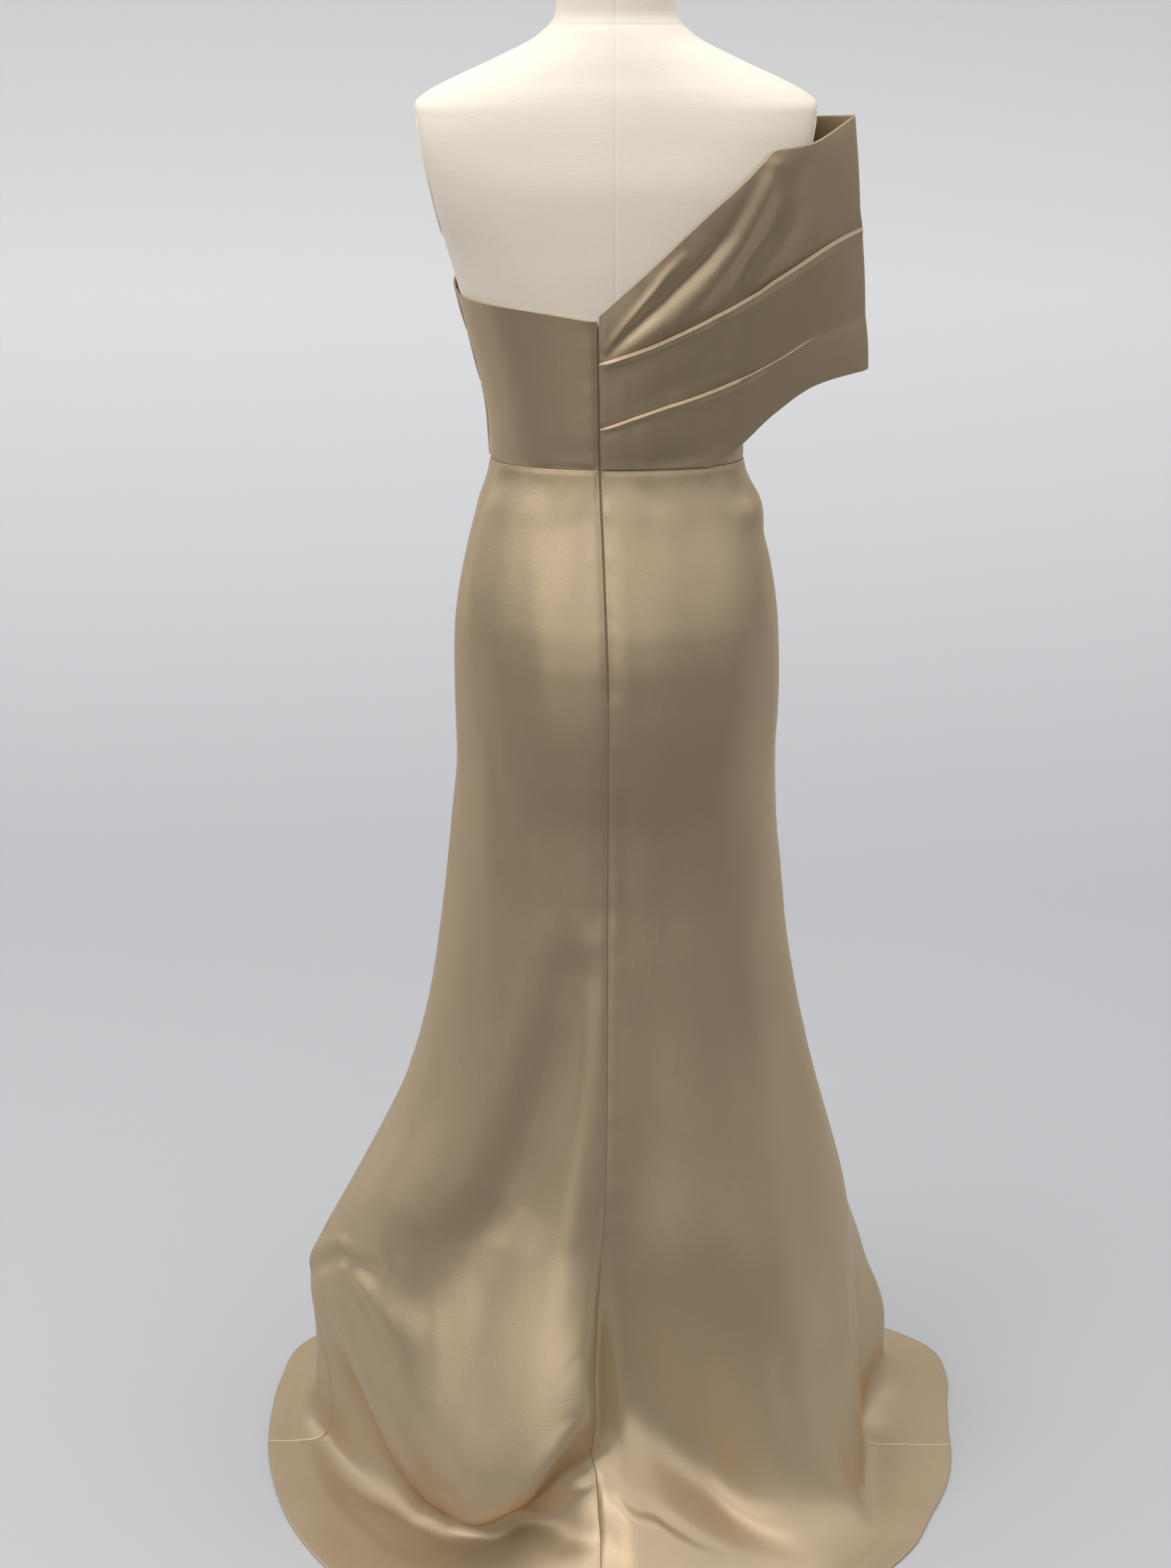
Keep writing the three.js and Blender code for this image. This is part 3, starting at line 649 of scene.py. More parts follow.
def make_object(name, points, faces, material):
    """A smooth mesh from points in millimetres, turned so that its faces look out."""
    points = np.asarray(points, float) * MM
    mesh = bpy.data.meshes.new(name)
    mesh.from_pydata(points.tolist(), [], faces)
    mesh.validate()
    mesh.calc_loop_triangles()
    triangles = np.empty(len(mesh.loop_triangles) * 3, int)
    mesh.loop_triangles.foreach_get("vertices", triangles)
    a, b, c = (points[triangles[i::3]] for i in range(3))
    if (a * np.cross(b, c)).sum() < 0:
        mesh.flip_normals()
    mesh.polygons.foreach_set("use_smooth", [True] * len(mesh.polygons))
    mesh.materials.append(material)
    piece = bpy.data.objects.new(name, mesh)
    add_to_scene(piece)
    return piece


def grid_faces(rows, columns, start=0):
    row, column = np.meshgrid(np.arange(rows - 1), np.arange(columns - 1), indexing="ij")
    corner = (start + row * columns + column).ravel()
    return np.stack([corner, corner + columns, corner + columns + 1, corner + 1], axis=1)


def border(rows, columns):
    """Places of a grid's outer ring, in order."""
    grid = np.arange(rows * columns).reshape(rows, columns)
    return np.concatenate([grid[0], grid[1:, -1], grid[-1, -2::-1], grid[-2:0:-1, 0]])


def cloth(name, outer, inner, material):
    """A wall of cloth between two grids, closed by a rounded edge."""
    rows, columns = outer.shape[:2]
    count = rows * columns
    flat_outer = outer.reshape(-1, 3)
    flat_inner = inner.reshape(-1, 3)
    ring = border(rows, columns)
    middle = (flat_outer[ring] + flat_inner[ring]) / 2
    row = np.clip(ring // columns, 1, rows - 2)
    column = np.clip(ring % columns, 1, columns - 2)
    away = flat_outer[ring] - outer[row, column]
    thick = np.linalg.norm(flat_outer[ring] - flat_inner[ring], axis=1, keepdims=True)
    away = away / np.maximum(np.linalg.norm(away, axis=1, keepdims=True), 1e-9)
    edge = middle + away * thick * EDGE_BULGE
    points = np.vstack([flat_outer, flat_inner, edge])
    front = grid_faces(rows, columns)
    back = grid_faces(rows, columns, count)[:, ::-1]
    here = np.arange(len(ring))
    beside = np.roll(here, -1)
    edge_here, edge_beside = 2 * count + here, 2 * count + beside
    rim_out = np.stack([ring, ring[beside], edge_beside, edge_here], axis=1)
    rim_in = np.stack([edge_here, edge_beside, ring[beside] + count, ring + count], axis=1)
    faces = np.vstack([front, back, rim_out, rim_in]).tolist()
    return make_object(name, points, faces, material)


def grid_normals(grid):
    """Outward directions of a grid whose rows rise and whose columns turn to the left."""
    up = np.gradient(grid, axis=0)
    round_it = np.gradient(grid, axis=1)
    normal = np.cross(up, round_it)
    return normal / np.maximum(np.linalg.norm(normal, axis=-1, keepdims=True), 1e-9)


def round_piece(name, rings, material):
    """A closed body through closed rings, with a middle point at both ends."""
    rings = np.asarray(rings, float)
    count, columns = rings.shape[:2]
    middles = rings[0].mean(axis=0), rings[-1].mean(axis=0)
    points = np.vstack([rings.reshape(-1, 3), *middles])
    ring, column = np.meshgrid(np.arange(count - 1), np.arange(columns), indexing="ij")
    here = (ring * columns + column).ravel()
    beside = (ring * columns + (column + 1) % columns).ravel()
    sides = np.stack([here, here + columns, beside + columns, beside], axis=1).tolist()
    low = list(range(columns))
    high = [i + (count - 1) * columns for i in low]
    ends = [[a, b, count * columns] for a, b in zip(low, low[1:] + low[:1])]
    ends += [[b, a, count * columns + 1] for a, b in zip(high, high[1:] + high[:1])]
    return make_object(name, points, sides + ends, material)


def turned(name, outline, material, sides=96):
    """A turned piece from its outline of radius and height, with soft corners."""
    angles = np.arange(sides) * 360 / sides
    rings = [polar(angles, radius, height) for radius, height in softened(outline)]
    return round_piece(name, rings, material)


def softened(outline, cut=1.2):
    """The outline with each inner corner replaced by a short chamfer of three points."""
    points = [np.array(p, float) for p in outline]
    soft = [points[0]]
    for before, here, after in zip(points, points[1:], points[2:]):
        into = (before - here) / np.linalg.norm(before - here)
        out = (after - here) / np.linalg.norm(after - here)
        soft += [here + into * cut, here + (into + out) * cut * 0.3, here + out * cut]
    return soft + [points[-1]]


# Materials
def new_material(name, colour, roughness):
    material = bpy.data.materials.new(name)
    material.use_nodes = True
    shader = material.node_tree.nodes["Principled BSDF"]
    shader.inputs["Base Color"].default_value = (*colour, 1)
    shader.inputs["Roughness"].default_value = roughness
    return material, material.node_tree, shader


def add_noise(tree, scale, stretch, detail):
    """Noise in object coordinates, stretched by its own scale on each axis."""
    place = tree.nodes.new("ShaderNodeTexCoord")
    mapping = tree.nodes.new("ShaderNodeMapping")
    mapping.inputs["Scale"].default_value = stretch
    noise = tree.nodes.new("ShaderNodeTexNoise")
    noise.inputs["Scale"].default_value = scale
    noise.inputs["Detail"].default_value = detail
    tree.links.new(place.outputs["Object"], mapping.inputs["Vector"])
    tree.links.new(mapping.outputs["Vector"], noise.inputs["Vector"])
    return noise


def add_ramp(tree, source, low, high, low_colour, high_colour):
    ramp = tree.nodes.new("ShaderNodeValToRGB")
    ends = (low, low_colour), (high, high_colour)
    for element, (position, colour) in zip(ramp.color_ramp.elements, ends):
        element.position = position
        element.color = (*colour, 1)
    tree.links.new(source, ramp.inputs["Fac"])
    return ramp


def vary(tree, socket, noise, span, low, high):
    """A socket that runs from one colour or value to another with a noise."""
    ramp = add_ramp(tree, add_noise(tree, *noise).outputs["Fac"], *span, low, high)
    tree.links.new(ramp.outputs["Color"], socket)


def add_bump(tree, shader, noises, strength, distance):
    """Bump from several noises, each added to the last."""
    heights = [add_noise(tree, *noise).outputs["Fac"] for noise in noises]
    total = heights[0]
    for height in heights[1:]:
        add = tree.nodes.new("ShaderNodeMath")
        add.operation = "ADD"
        tree.links.new(total, add.inputs[0])
        tree.links.new(height, add.inputs[1])
        total = add.outputs["Value"]
    bump = tree.nodes.new("ShaderNodeBump")
    bump.inputs["Strength"].default_value = strength
    bump.inputs["Distance"].default_value = distance
    tree.links.new(total, bump.inputs["Height"])
    tree.links.new(bump.outputs["Normal"], shader.inputs["Normal"])


def shade(colour, factor):
    return tuple(min(1.0, channel * factor) for channel in colour)


def grey(value):
    return (value, value, value)


def make_material(name, colour, roughness, tint, rough=None, bump=None, sockets=None):
    """A material whose noises are scale, stretch and detail. tint is a noise, its span and two
    factors of the colour, rough has two values instead, and bump is noises, strength, distance."""
    material, tree, shader = new_material(name, colour, roughness)
    for socket, value in (sockets or {}).items():
        shader.inputs[socket].default_value = value
    noise, span, low, high = tint
    vary(tree, shader.inputs["Base Color"], noise, span, shade(colour, low), shade(colour, high))
    if rough:
        noise, span, low, high = rough
        vary(tree, shader.inputs["Roughness"], noise, span, grey(low), grey(high))
    if bump:
        add_bump(tree, shader, *bump)
    return material


SATIN = (0.44, 0.338, 0.22)
LINEN = (0.78, 0.695, 0.585)
STEEL = (0.52, 0.52, 0.5)
TAPE = (0.21, 0.155, 0.09)
# Colours of the backdrop paper: the floor colour is the paper darkened by painted shade, the wall
# colour is its tone in the middle of the wall, and the high wall colour is the paper lightened by
# painted light.
FLOOR_PAINTED_SHADE_COLOUR = (0.44, 0.445, 0.455)
WALL_COLOUR = (0.7, 0.702, 0.708)
WALL_PAINTED_LIGHT_COLOUR = (0.9, 0.9, 0.9)
WALL_BRIGHT_HEIGHT = 2.2
# Painted shade on the floor towards the camera: where it starts and ends along Y, and the share of
# the colour that is left.
PAINTED_SHADE_SPAN = (0.3, 0.7)
PAINTED_SHADE_SHARE = 0.14


def backdrop_painted_light():
    """Paper of one colour with painted light and shade: darker on the floor, paler up the wall, and
    darkened by painted shade where the floor runs out into the room towards the camera.
    """
    material, tree, shader = new_material("backdrop", WALL_COLOUR, 0.9)
    place = tree.nodes.new("ShaderNodeTexCoord")
    split = tree.nodes.new("ShaderNodeSeparateXYZ")
    tree.links.new(place.outputs["Object"], split.inputs["Vector"])
    part = tree.nodes.new("ShaderNodeMath")
    part.operation = "DIVIDE"
    part.inputs[1].default_value = WALL_BRIGHT_HEIGHT
    tree.links.new(split.outputs["Z"], part.inputs[0])
    # Painted light and shade by height: darker on the floor, paler up the wall and palest high up.
    rise = add_ramp(tree, part.outputs[0], 0.0, 0.4, FLOOR_PAINTED_SHADE_COLOUR, WALL_COLOUR)
    for position, colour in ((0.7, WALL_COLOUR), (0.9, WALL_PAINTED_LIGHT_COLOUR)):
        rise.color_ramp.elements.new(position).color = (*colour, 1)
    # Painted shade: the floor darkens towards the camera, so that the satin reflects a dark floor
    # there.
    painted_shade = add_ramp(tree, split.outputs["Y"], *PAINTED_SHADE_SPAN, grey(1), grey(PAINTED_SHADE_SHARE))
    tint = tree.nodes.new("ShaderNodeVectorMath")
    tint.operation = "MULTIPLY"
    tree.links.new(rise.outputs["Color"], tint.inputs[0])
    tree.links.new(painted_shade.outputs["Color"], tint.inputs[1])
    tree.links.new(tint.outputs["Vector"], shader.inputs["Base Color"])
    return material


EVEN = (1, 1, 1)
satin = make_material(
    "satin", SATIN, 0.4,
    tint=((7, EVEN, 4), (0.3, 0.72), 0.95, 1.05),
    rough=((420, (1, 1, 0.16), 2), (0.25, 0.75), 0.35, 0.41),
    bump=([(1500, (1, 1, 0.12), 1), (1100, (0.2, 0.2, 1), 1)], 0.16, 0.0004),
    sockets={"Metallic": 0.6, "Specular IOR Level": 0.3, "Specular Tint": (1, 0.86, 0.68, 1)},
)
linen = make_material(
    "linen", LINEN, 0.85,
    tint=((5, EVEN, 4), (0.3, 0.7), 0.95, 1.04),
    bump=([(900, (1, 1, 0.1), 2), (900, (0.1, 0.1, 1), 2)], 0.3, 0.0005),
    sockets={"Specular IOR Level": 0.25, "Sheen Weight": 0.2},
)
tape = make_material(
    "zip_tape", TAPE, 0.7,
    tint=((900, (0.2, 0.2, 1), 1), (0.3, 0.7), 0.8, 1.15),
    bump=([(900, (0.2, 0.2, 1), 1)], 0.4, 0.0004),
)
nylon = make_material("zip_coil", TAPE, 0.35, tint=((500, EVEN, 2), (0.3, 0.7), 1.1, 1.35))
steel = make_material(
    "steel", STEEL, 0.35,
    tint=((9, EVEN, 3), (0.3, 0.7), 0.9, 1.08),
    rough=((60, (1, 1, 14), 3), (0.3, 0.7), 0.28, 0.46),
    bump=([(60, (1, 1, 14), 3)], 0.08, 0.0003),
    sockets={"Metallic": 1.0},
)


def place_piece(piece, slot, *nodes):
    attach(piece, "root")
    if nodes:
        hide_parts(*nodes)
    return piece


def satin_piece(node, ending, outer, inner):
    """A wall of satin that stands for one solid."""
    return place_piece(cloth(node + ending, outer, inner, satin), "satin", node)


# Plain cloth of the bodice
def bodice_panel(node, ending, out, thick, size, edges, top_edge):
    """A panel between two seams, from the waist to its top edge, over the figure."""
    width, tall = size
    columns = crowded(int(width / BODICE_STEP), width)
    rows = crowded(int(tall / BODICE_STEP), tall)
    guess = mix(edges(WAIST)[0], edges(WAIST)[1], columns)
    high = row_at(top_edge, guess)[..., 1]
    height = mix(BODICE_FOOT, high[None, :], rows[:, None])
    start, end = edges(height)
    angle = mix(start, end, columns[None, :])
    radius = figure_radius(angle, height)
    reach = radius * np.radians(np.abs(angle - start))
    other = radius * np.radians(np.abs(angle - end))
    dip = seam_dip(reach, height) + seam_dip(other, height + PUCKER_SHIFT)
    dip = dip + seam_dip(height - BODICE_FOOT, radius * np.radians(angle))
    inside = smooth_step(0, BODICE_DRIFT_REACH, np.minimum(reach, other))
    dip = dip + BODICE_DRIFT * drift(angle, height) * inside
    outer = polar(angle, radius + out + np.maximum(dip, thick * -0.75), height)
    inner = polar(angle, radius + out - thick, height)
    return satin_piece(node, ending, outer, inner)


def make_bodice():
    left = bodice_panel(
        "bodice_back_left", "_satin", BACK_OUT, BACK_WALL, (170, 150),
        lambda z: (back_edge(z, 1), LEFT_SEAM - SEAM_ANGLE), TOP_EDGE,
    )
    right = bodice_panel(
        "bodice_back_right", "_base", BASE_OUT, BASE_WALL, (200, 150),
        lambda z: (RIGHT_SEAM + SEAM_ANGLE, back_edge(z, -1)), TOP_EDGE,
    )
    front = bodice_panel(
        "bodice_front", "_base", BASE_OUT, BASE_WALL, (360, 180),
        lambda z: (LEFT_SEAM + SEAM_ANGLE, 360 + RIGHT_SEAM - SEAM_ANGLE), FRONT_TOP_EDGE,
    )
    return left, right, front


# Drape
def drape_rows():
    """Rows of the drape: band, share of its height, pleat line, shares of the line's lap and
    rise, and an offset that spreads the rows where the pleat has faded."""
    rows = []
    stretches = np.linspace(0, 0.2, 9), np.linspace(0.24, 0.84, 19), np.linspace(0.86, 1, 12)
    first_lap = PLEAT_EDGE[0][0]
    spread = np.linspace(-0.75, 0.75, len(PLEAT_EDGE)) * FADED_EDGE
    for band in range(3):
        for part in np.concatenate(stretches):
            if band < 2 and part > 0.5:
                near = float(smooth_step(LEAN_START, 1, part))
                lip = LIP_SHARE * float(smooth_step(LIP_START, 1, part))
                lip = SLOPE_SHARE * part**SLOPE_POWER + lip
                rows.append((band, part, band + 1, first_lap * near, lip, -FADED_EDGE * near))
            else:
                near = 1 - float(smooth_step(0, FOOT_END, part))
                rows.append((band, part, band, PLEAT_FOOT_LAP * near, 0.0, FADED_EDGE * near))
        if band < 2:
            for (lap, rise), offset in zip(PLEAT_EDGE, spread):
                rows.append((band, 1.0, band + 1, lap, rise, offset))
    return rows


def drape_piece(node, lines, angles, near_end, open_share, closing):
    """One half of the drape. Its pleats close to the open share at near_end."""
    rows = drape_rows()
    table = row_at(lines, angles)
    from_near = np.abs(angles - near_end)
    from_fold = np.abs(angles - FOLD_SEAM)
    strength, laps, rises = [0 * angles] * 4, [0 * angles] * 4, [0 * angles] * 4
    for line, lap, rise, faded, full in PLEAT_LAPS:
        strength[line] = smooth_step(faded, full, from_fold)
        closed = strength[line] * mix(open_share, 1, smooth_step(0, closing, from_near))
        laps[line] = lap * closed
        rises[line] = rise * closed * mix(0.4, 1, smooth_step(0, 12, from_fold))
    outer = []
    for band, part, line, lap_share, rise_share, off in rows:
        height = mix(table[:, band + 1], table[:, band + 2], part)
        height = height + lap_share * laps[line] + off * (1 - strength[line])
        if line == band:
            groove = PLEAT_GROOVE * float(1 - smooth_step(0.03, 0.12, part)) * strength[band]
            lift = rises[band + 1] * SLOPE_SHARE * part**SLOPE_POWER - groove
        else:
            lift = rise_share * rises[line]
        rise = lift + crease_rise(angles, height, DRAPE_CREASES)
        puff = DRAPE_PUFF * math.sin(math.pi * part)
        puff = puff + DRAPE_DRIFT * drift(angles * DRAPE_DRIFT_TURN, height)
        end_roll = END_ROLL[0] * bell(from_near, END_ROLL[1])
        radius = taut_radius(angles, height) + rise + puff + end_roll
        outer.append(polar(angles, radius, height))
    outer = np.array(outer)
    outer[0, :, 2] += SEAM_GAP / 2
    share = np.linspace(0, 1, len(rows))[:, None]
    height = mix(table[None, :, 1] + SEAM_GAP / 2, table[None, :, 4], share)
    dip = np.minimum(crease_rise(angles[None, :], height, DRAPE_CREASES), 0)
    radius = taut_radius(angles[None, :], height) + dip - DRAPE_WALL
    return satin_piece(node, "_satin", outer, polar(angles[None, :], radius, height))


def make_drape():
    zip_edge = float(back_edge(WAIST + 60, -1))
    back_angles = np.concatenate([
        [FOLD_SEAM + SEAM_ANGLE],
        FOLD_SEAM + NEAR_FOLD,
        np.linspace(-86, zip_edge - 2, 130),
        zip_edge - np.array([1.4, 0.9, 0.5, 0.2, 0]),
    ])
    back = drape_piece("drape_back", DRAPE_BACK, back_angles, zip_edge, 0.5, 8)
    side = LEFT_SEAM - 360 + SEAM_ANGLE
    front_angles = np.concatenate([
        side + np.array([0, 0.3, 0.7, 1.2]),
        np.linspace(side + 2, -94, 180),
        FOLD_SEAM - NEAR_FOLD[::-1],
        [FOLD_SEAM - SEAM_ANGLE],
    ])
    front = drape_piece("drape_front", DRAPE_FRONT, front_angles, side, 0.0, 40)
    return back, front


# Skirt
def skirt_places():
    """Places of the skirt's rows, from the hem up."""
    upper = WAIST - SEAM_GAP / 2 - BELOW_WAIST
    lower = np.linspace(WAIST - 16, RING_END, RING_ROWS)
    floor = [np.linspace(i, i + 1, rows)[1:] for i, rows in enumerate(FLOOR_ROWS)]
    return np.concatenate([upper, lower, -np.concatenate(floor)])[::-1]


def level_of(place):
    """One measure down the skirt: height on the rings, then on to 0 at the hem."""
    return place if place >= RING_END else RING_END * (1 + place / 4)


def eased(grid, weight):
    """The grid with its rows evened out where the weight is high."""
    for _ in range(EASED_PASSES):
        middle = (grid[:-2] + 2 * grid[1:-1] + grid[2:]) / 4
        grid[1:-1] += (middle - grid[1:-1]) * weight[1:-1]
    return grid


def skirt_panel(node, steps, left_edge, right_edge):
    """One panel of the skirt between two seams, each a function of a row's middle point."""
    shares = crowded(steps, SKIRT_WIDTH)
    places = skirt_places()
    grid, angle_grid, edge_grid = [], [], []
    for place in places:
        middle = skirt_row(np.array([0.0]), place)[0]
        radius = float(figure_radius(0.0, place)) if place >= RING_END else math.hypot(*middle[:2])
        start = left_edge(middle[2], radius)
        end = right_edge(middle[2], radius)
        angles = mix(start, end, shares)
        row = skirt_row(angles, place)
        grid.append(row)
        angle_grid.append(angles)
        steps_long = np.linalg.norm(np.diff(row, axis=0), axis=1)
        width = np.concatenate([[0], np.cumsum(steps_long)])
        edge_grid.append(np.minimum(width, width[-1] - width))
    angle, edge = np.array(angle_grid), np.array(edge_grid)
    level = np.array([[level_of(place)] for place in places])
    grid = eased(np.array(grid), bell(level - RING_END, EASED_SPREAD)[..., None])
    normal = grid_normals(grid)
    below_waist = WAIST - level
    on_train = 1 - smooth_step(*TRAIN_LEVELS, level)
    on_train = on_train * smooth_step(*TRAIN_ANGLES, np.abs(turn_between(angle, 0)))
    rise = seam_dip(edge, level) * (1 - TRAIN_SEAM_FADE * on_train)
    rise = rise + WAIST_GROOVE * seam_dip(below_waist, angle * 2)
    rise = rise + crease_rise(angle, level, SKIRT_CREASES)
    rise = rise + drift(angle, level) * smooth_step(0, 60, below_waist) * smooth_step(0, 20, edge)
    rise = np.maximum(rise, np.where(level > ON_FORM, DEEPEST_ON_FORM, DEEPEST_BELOW))
    outer = grid + normal * rise[..., None]
    outer[..., 2] = np.maximum(outer[..., 2], HEM_HEIGHT - 0.2)
    normal = grid_normals(outer)
    inner = outer - normal * SKIRT_WALL
    inner[..., 2] = np.maximum(inner[..., 2], INNER_HEIGHT)
    return satin_piece(node, "_satin", outer, inner)


def side_edge(angle, side):
    return lambda height, radius: angle + side * math.degrees(SEAM_GAP / 2 / radius)


def make_skirt():
    left = skirt_panel(
        "skirt_back_left", 84,
        lambda z, radius: centre_edge(z, radius, 1), side_edge(LEFT_SEAM, -1),
    )
    right = skirt_panel(
        "skirt_back_right", 84,
        side_edge(RIGHT_SEAM, 1), lambda z, radius: centre_edge(z, radius, -1),
    )
    front = skirt_panel(
        "skirt_front", 120, side_edge(LEFT_SEAM, 1), side_edge(360 + RIGHT_SEAM, -1),
    )
    return left, right, front


# Zip: two tapes that meet on a fine coil
def make_tapes():
    heights = np.linspace(ZIP_END, ZIP_TOP, 150)
    shares = np.linspace(-1, 1, 11)
    radius = figure_radius(0.0, heights)
    middle = centre_back_angle(heights, radius)
    half = np.degrees(np.arcsin(ZIP_WIDTH / 2 / radius))
    angle = middle[:, None] + half[:, None] * shares[None, :]
    height = heights[:, None] + 0 * angle
    crown = 0.2 * bell(np.abs(shares) - 0.45, 0.2) - 0.45 * bell(shares, 0.12)
    ring = figure_radius(angle, height)
    outer = polar(angle, ring + ZIP_OUT - TAPE_INSET + crown, height)
    inner = polar(angle, ring + ZIP_OUT - ZIP_WALL, height)
    place_piece(cloth("zip_tapes", outer, inner, tape), "zip", "zip_strip")


def make_coil():
    turn = np.arange(COIL_SIDES) * 2 * math.pi / COIL_SIDES
    section = np.stack([np.cos(turn), np.sin(turn)], axis=1) * COIL_RADIUS
    points, faces = [], []
    for height in np.arange(ZIP_END + 2, ZIP_TOP - 2, COIL_PITCH):
        centre = float(centre_back_angle(height, float(figure_radius(0.0, height))))
        radius = float(figure_radius(centre, height)) + ZIP_OUT - COIL_INSET
        place = polar(centre, radius, height)
        start = len(points)
        for end, shrink in COIL_ENDS:
            for y, z in section * shrink:
                out, up = place[1] + y, place[2] + z + end * COIL_LEAN
                points.append((place[0] + end * COIL_LENGTH / 2, out, up))
        for ring in range(len(COIL_ENDS) - 1):
            for i in range(COIL_SIDES):
                a = start + ring * COIL_SIDES + i
                b = start + ring * COIL_SIDES + (i + 1) % COIL_SIDES
                faces.append([a, a + COIL_SIDES, b + COIL_SIDES, b])
        faces.append([start + i for i in range(COIL_SIDES)])
        faces.append([start + 3 * COIL_SIDES + i for i in range(COIL_SIDES - 1, -1, -1)])
    place_piece(make_object("zip_coil", points, faces, nylon), "zip")


# Dress form
def seam_angles():
    """Angles round the torso, close together at its four long seams."""
    fine = np.array([-1.6, -0.9, -0.5, -0.25, 0, 0.25, 0.5, 0.9, 1.6])
    angles = [seam + fine for seam in FORM_SEAMS]
    angles += [seam + np.linspace(2.6, 87.4, 34) for seam in FORM_SEAMS]
    return np.unique(np.concatenate(angles) % 360)


def make_form():
    low = np.linspace(FORM_BOTTOM, 1360, 92)
    high = np.linspace(1366, NECK_TOP, 40)
    neck = NECK_SEAM + np.array([-1.2, -0.6, 0, 0.6, 1.2])
    heights = np.sort(np.concatenate([low, high, neck]))
    angle, height = np.meshgrid(seam_angles(), heights)
    radius = figure_radius(angle, height)
    for seam in FORM_SEAMS:
        reach = radius * np.radians(np.abs(turn_between(angle, seam)))
        radius = radius - FORM_SEAM_DEPTH * bell(reach, LONG_SEAM_SPREAD)
    radius = radius - FORM_SEAM_DEPTH * bell(height - NECK_SEAM, NECK_SEAM_SPREAD)
    torso = round_piece("torso_linen", polar(angle, radius, height), linen)
    place_piece(torso, "linen", "form_torso")
    for side, node in ((1, "armhole_plate_left"), (-1, "armhole_plate_right")):
        place_piece(arm_plate(side, node + "_linen"), "linen", node)
    foot = NECK_TOP + SEAM_GAP
    cap = [(2, foot), (46, foot), (48, foot + 2), (48, foot + 6), (45, foot + 9), (2, foot + 9)]
    place_piece(turned("neck_cap_linen", cap, linen), "linen", "neck_cap")


def arm_plate(side, name):
    """Oval plate with a rounded rim, lying against the armhole cut."""
    turn = np.arange(72) * 2 * math.pi / 72
    rim = [
        (0.3, 0), (0.97, 0), (1, 0.18), (1, 0.6),
        (0.985, 0.85), (0.95, 1), (0.9, 1), (0.3, 1.0),
    ]
    slope = math.atan(CUT_SLOPE)
    width = CUT_FOOT_WIDTH + CUT_SLOPE * (PLATE_CENTRE_HEIGHT - CUT_FOOT_HEIGHT)
    out = np.array([math.cos(slope), 0, -math.sin(slope)])
    up = np.array([math.sin(slope), 0, math.cos(slope)])
    centre = np.array([width + SEAM_GAP * 1.5, -2, PLATE_CENTRE_HEIGHT])
    rings = []
    for share, depth in rim:
        ring = centre + out * depth * PLATE_THICKNESS
        ring = ring + np.outer(np.cos(turn) * share * PLATE_HALF_HEIGHT, up)
        ring = ring + np.outer(np.sin(turn) * share * PLATE_HALF_DEPTH, [0, 1, 0])
        rings.append(ring * [side, 1, 1])
    return round_piece(name, rings, linen)


def make_stand():
    top = FORM_BOTTOM - SEAM_GAP
    collar = [(15, top - 16), (34, top - 16), (38, top - 12), (38, top), (15, top)]
    pole_top = FORM_BOTTOM - 16 - 2 * SEAM_GAP
    pole = [(2, 14 + SEAM_GAP), (14, 14 + SEAM_GAP), (14, pole_top), (2, pole_top)]
    base = [(2, 0), (140, 0), (140, 9), (135, 14), (2, 14)]
    place_piece(turned("pole_collar_steel", collar, steel, 64), "steel", "pole_collar")
    place_piece(turned("pole_steel", pole, steel, 48), "steel", "pole")
    place_piece(turned("base_steel", base, steel, 128), "steel", "base_plate")


# Camera, lights and backdrop
CAMERA_BACK = 2.5
CAMERA_HEIGHT = 1.46
CAMERA_PITCH = 16.2
CAMERA_YAW = 0.634
PHOTO_HEIGHT = 2000
FOCAL_PIXELS = 3390
SENSOR = 24

# Light of the room: brightness, colour below and above, the edge between them, and the
# height from which it is brighter by a factor
ROOM_LIGHT = 1.24
ROOM_LOW = (0.03, 0.03, 0.03)
ROOM_HIGH = (0.87, 0.88, 0.9)
ROOM_EDGE = (0.1, 0.2)
CEILING_START = 0.5
CEILING_FACTOR = 1.1

# Lamps: name, place, target, size, power, colour
LAMPS = [
    ("window", (2.6, 2.4, 3.6), (0, 0, 1.25), (2.6, 2.2), 46, (1, 0.985, 0.96)),
    ("top", (0.1, 0.3, 3.7), (0.1, 0.1, 0), (2.2, 2.0), 26, (1, 0.99, 0.97)),
    ("rim", (3.3, -1.7, 1.5), (0.1, 0, 0.9), (1.0, 2.0), 4, (1, 0.99, 0.97)),
    ("high_fill", (0.6, 3.1, 1.85), (0, 0, 1), (3.2, 0.8), 4, (1, 0.985, 0.96)),
    ("low_fill", (0.9, 3.1, 0.85), (0, 0, 1.2), (2.2, 0.5), 4.5, (1, 0.985, 0.96)),
]

# Backdrop: floor's near end, wall's place, its foot's radius and steps, top and half width
FLOOR_END = 4.0
WALL_BACK = -3.4
WALL_RADIUS = 1.6
WALL_STEPS = 24
WALL_TOP = 5.0
BACKDROP_HALF = 7.0


def make_camera():
    data = bpy.data.cameras.new("camera")
    data.sensor_fit = "VERTICAL"
    data.sensor_height = SENSOR
    data.lens = FOCAL_PIXELS / PHOTO_HEIGHT * SENSOR
    camera = bpy.data.objects.new("camera", data)
    camera.location = (0, CAMERA_BACK, CAMERA_HEIGHT)
    turn = Matrix.Rotation(math.radians(180 + CAMERA_YAW), 4, "Z")
    tilt = Matrix.Rotation(math.radians(90 - CAMERA_PITCH), 4, "X")
    camera.rotation_euler = (turn @ tilt).to_euler()
    add_to_scene(camera)
    bpy.context.scene.camera = camera


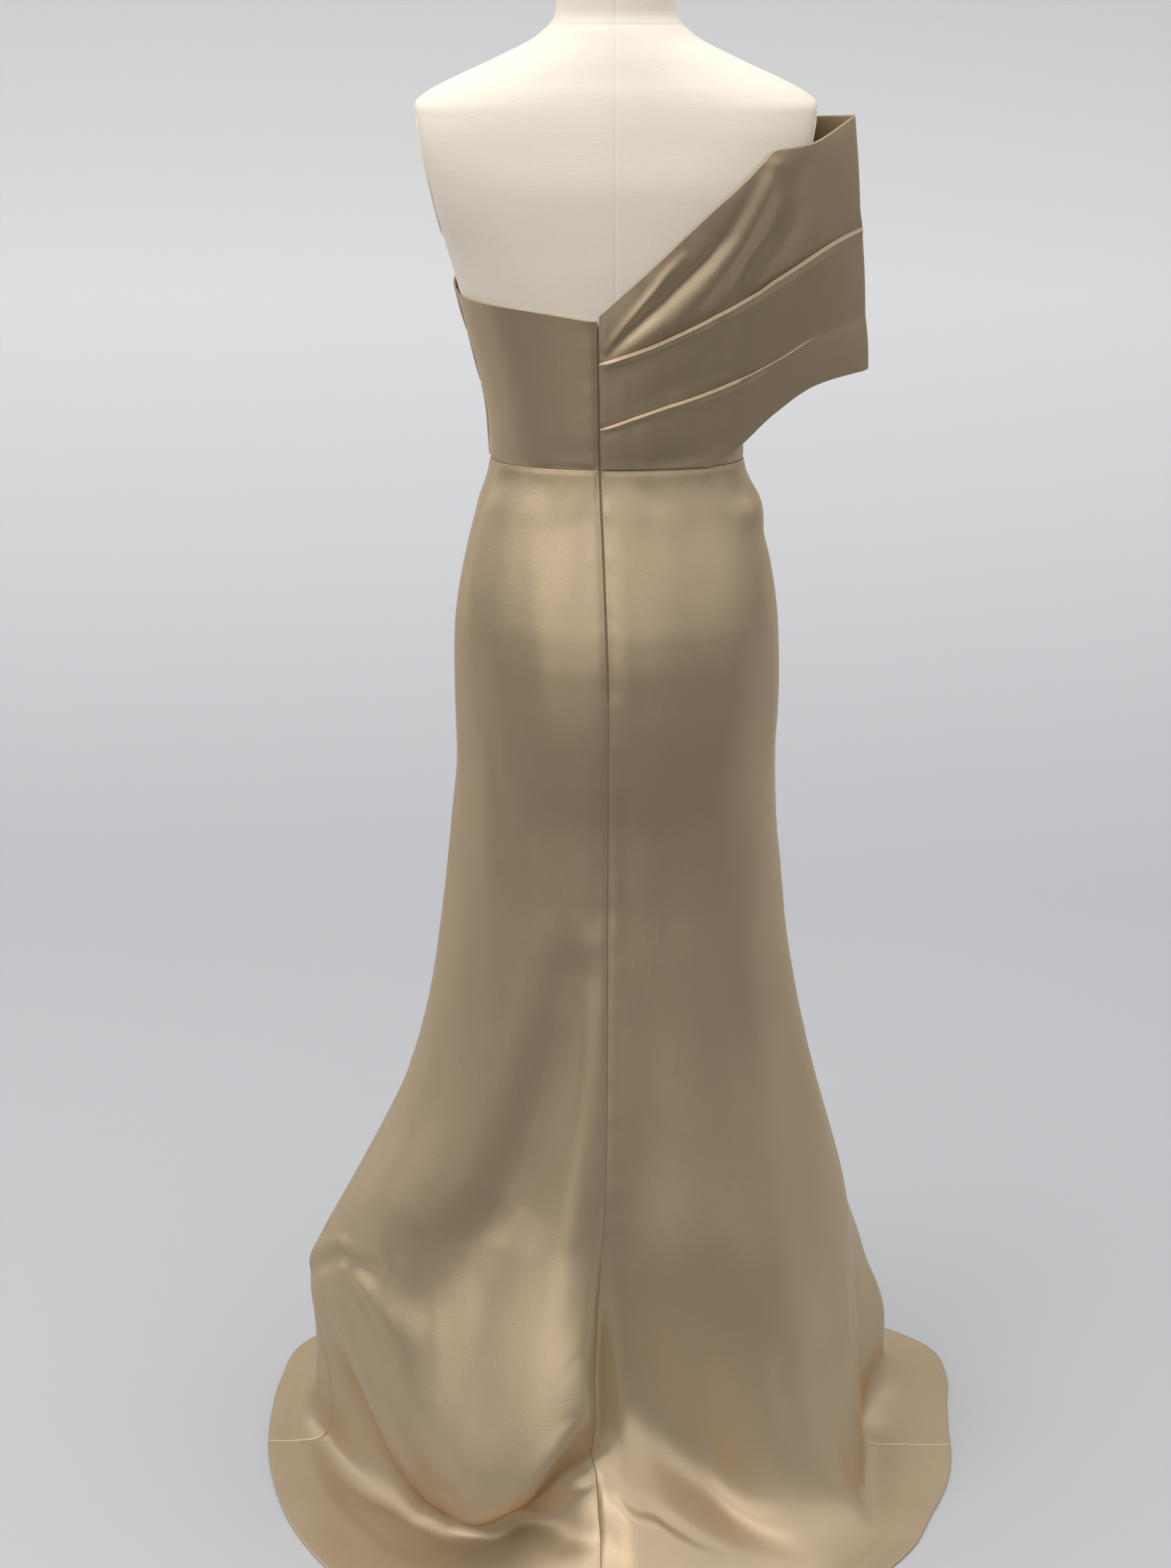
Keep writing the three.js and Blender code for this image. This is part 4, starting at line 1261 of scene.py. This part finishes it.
def add_light(name, place, target, size, power, colour):
    data = bpy.data.lights.new(name, "AREA")
    data.shape = "RECTANGLE"
    data.size, data.size_y = size
    data.energy = power
    data.color = colour
    light = bpy.data.objects.new(name, data)
    light.location = place
    aim = Vector(target) - Vector(place)
    light.rotation_euler = aim.to_track_quat("-Z", "Y").to_euler()
    add_to_scene(light)


def make_world():
    """A bright room above eye level over a darker floor, as cloth reflects it."""
    world = bpy.data.worlds.new("studio")
    world.use_nodes = True
    tree = world.node_tree
    place = tree.nodes.new("ShaderNodeTexCoord")
    split = tree.nodes.new("ShaderNodeSeparateXYZ")
    tree.links.new(place.outputs["Generated"], split.inputs["Vector"])
    ramp = add_ramp(tree, split.outputs["Z"], *ROOM_EDGE, ROOM_LOW, ROOM_HIGH)
    ceiling = ramp.color_ramp.elements.new(CEILING_START)
    ceiling.color = (*shade(ROOM_HIGH, CEILING_FACTOR), 1)
    background = tree.nodes["Background"]
    tree.links.new(ramp.outputs["Color"], background.inputs["Color"])
    background.inputs["Strength"].default_value = ROOM_LIGHT
    bpy.context.scene.world = world


def make_lights():
    for lamp in LAMPS:
        add_light(*lamp)
    make_world()


def make_stage():
    """A pale floor that curves up into a wall behind the front of the dress."""
    profile = [(FLOOR_END, 0.0), (0.0, 0.0)]
    for i in range(WALL_STEPS + 1):
        turn = math.radians(i * 90 / WALL_STEPS)
        back = WALL_BACK + WALL_RADIUS - WALL_RADIUS * math.sin(turn)
        profile.append((back, WALL_RADIUS - WALL_RADIUS * math.cos(turn)))
    profile.append((WALL_BACK, WALL_TOP))
    points = []
    for x in (-BACKDROP_HALF, BACKDROP_HALF):
        points += [(x, y, z) for y, z in profile]
    count = len(profile)
    faces = [(i, i + 1, i + 1 + count, i + count) for i in range(count - 1)]
    mesh = bpy.data.meshes.new("backdrop")
    mesh.from_pydata(points, [], faces)
    mesh.polygons.foreach_set("use_smooth", [True] * len(mesh.polygons))
    mesh.materials.append(backdrop_painted_light())
    backdrop = bpy.data.objects.new("backdrop", mesh)
    add_to_scene(backdrop)


make_camera()
make_lights()
make_stage()
bpy.context.scene.view_settings.view_transform = "Standard"

bodice_left, bodice_right, bodice_front = make_bodice()
drape_back, drape_front = make_drape()
skirt_left, skirt_right, skirt_front = make_skirt()
make_tapes()
make_coil()
make_form()
make_stand()
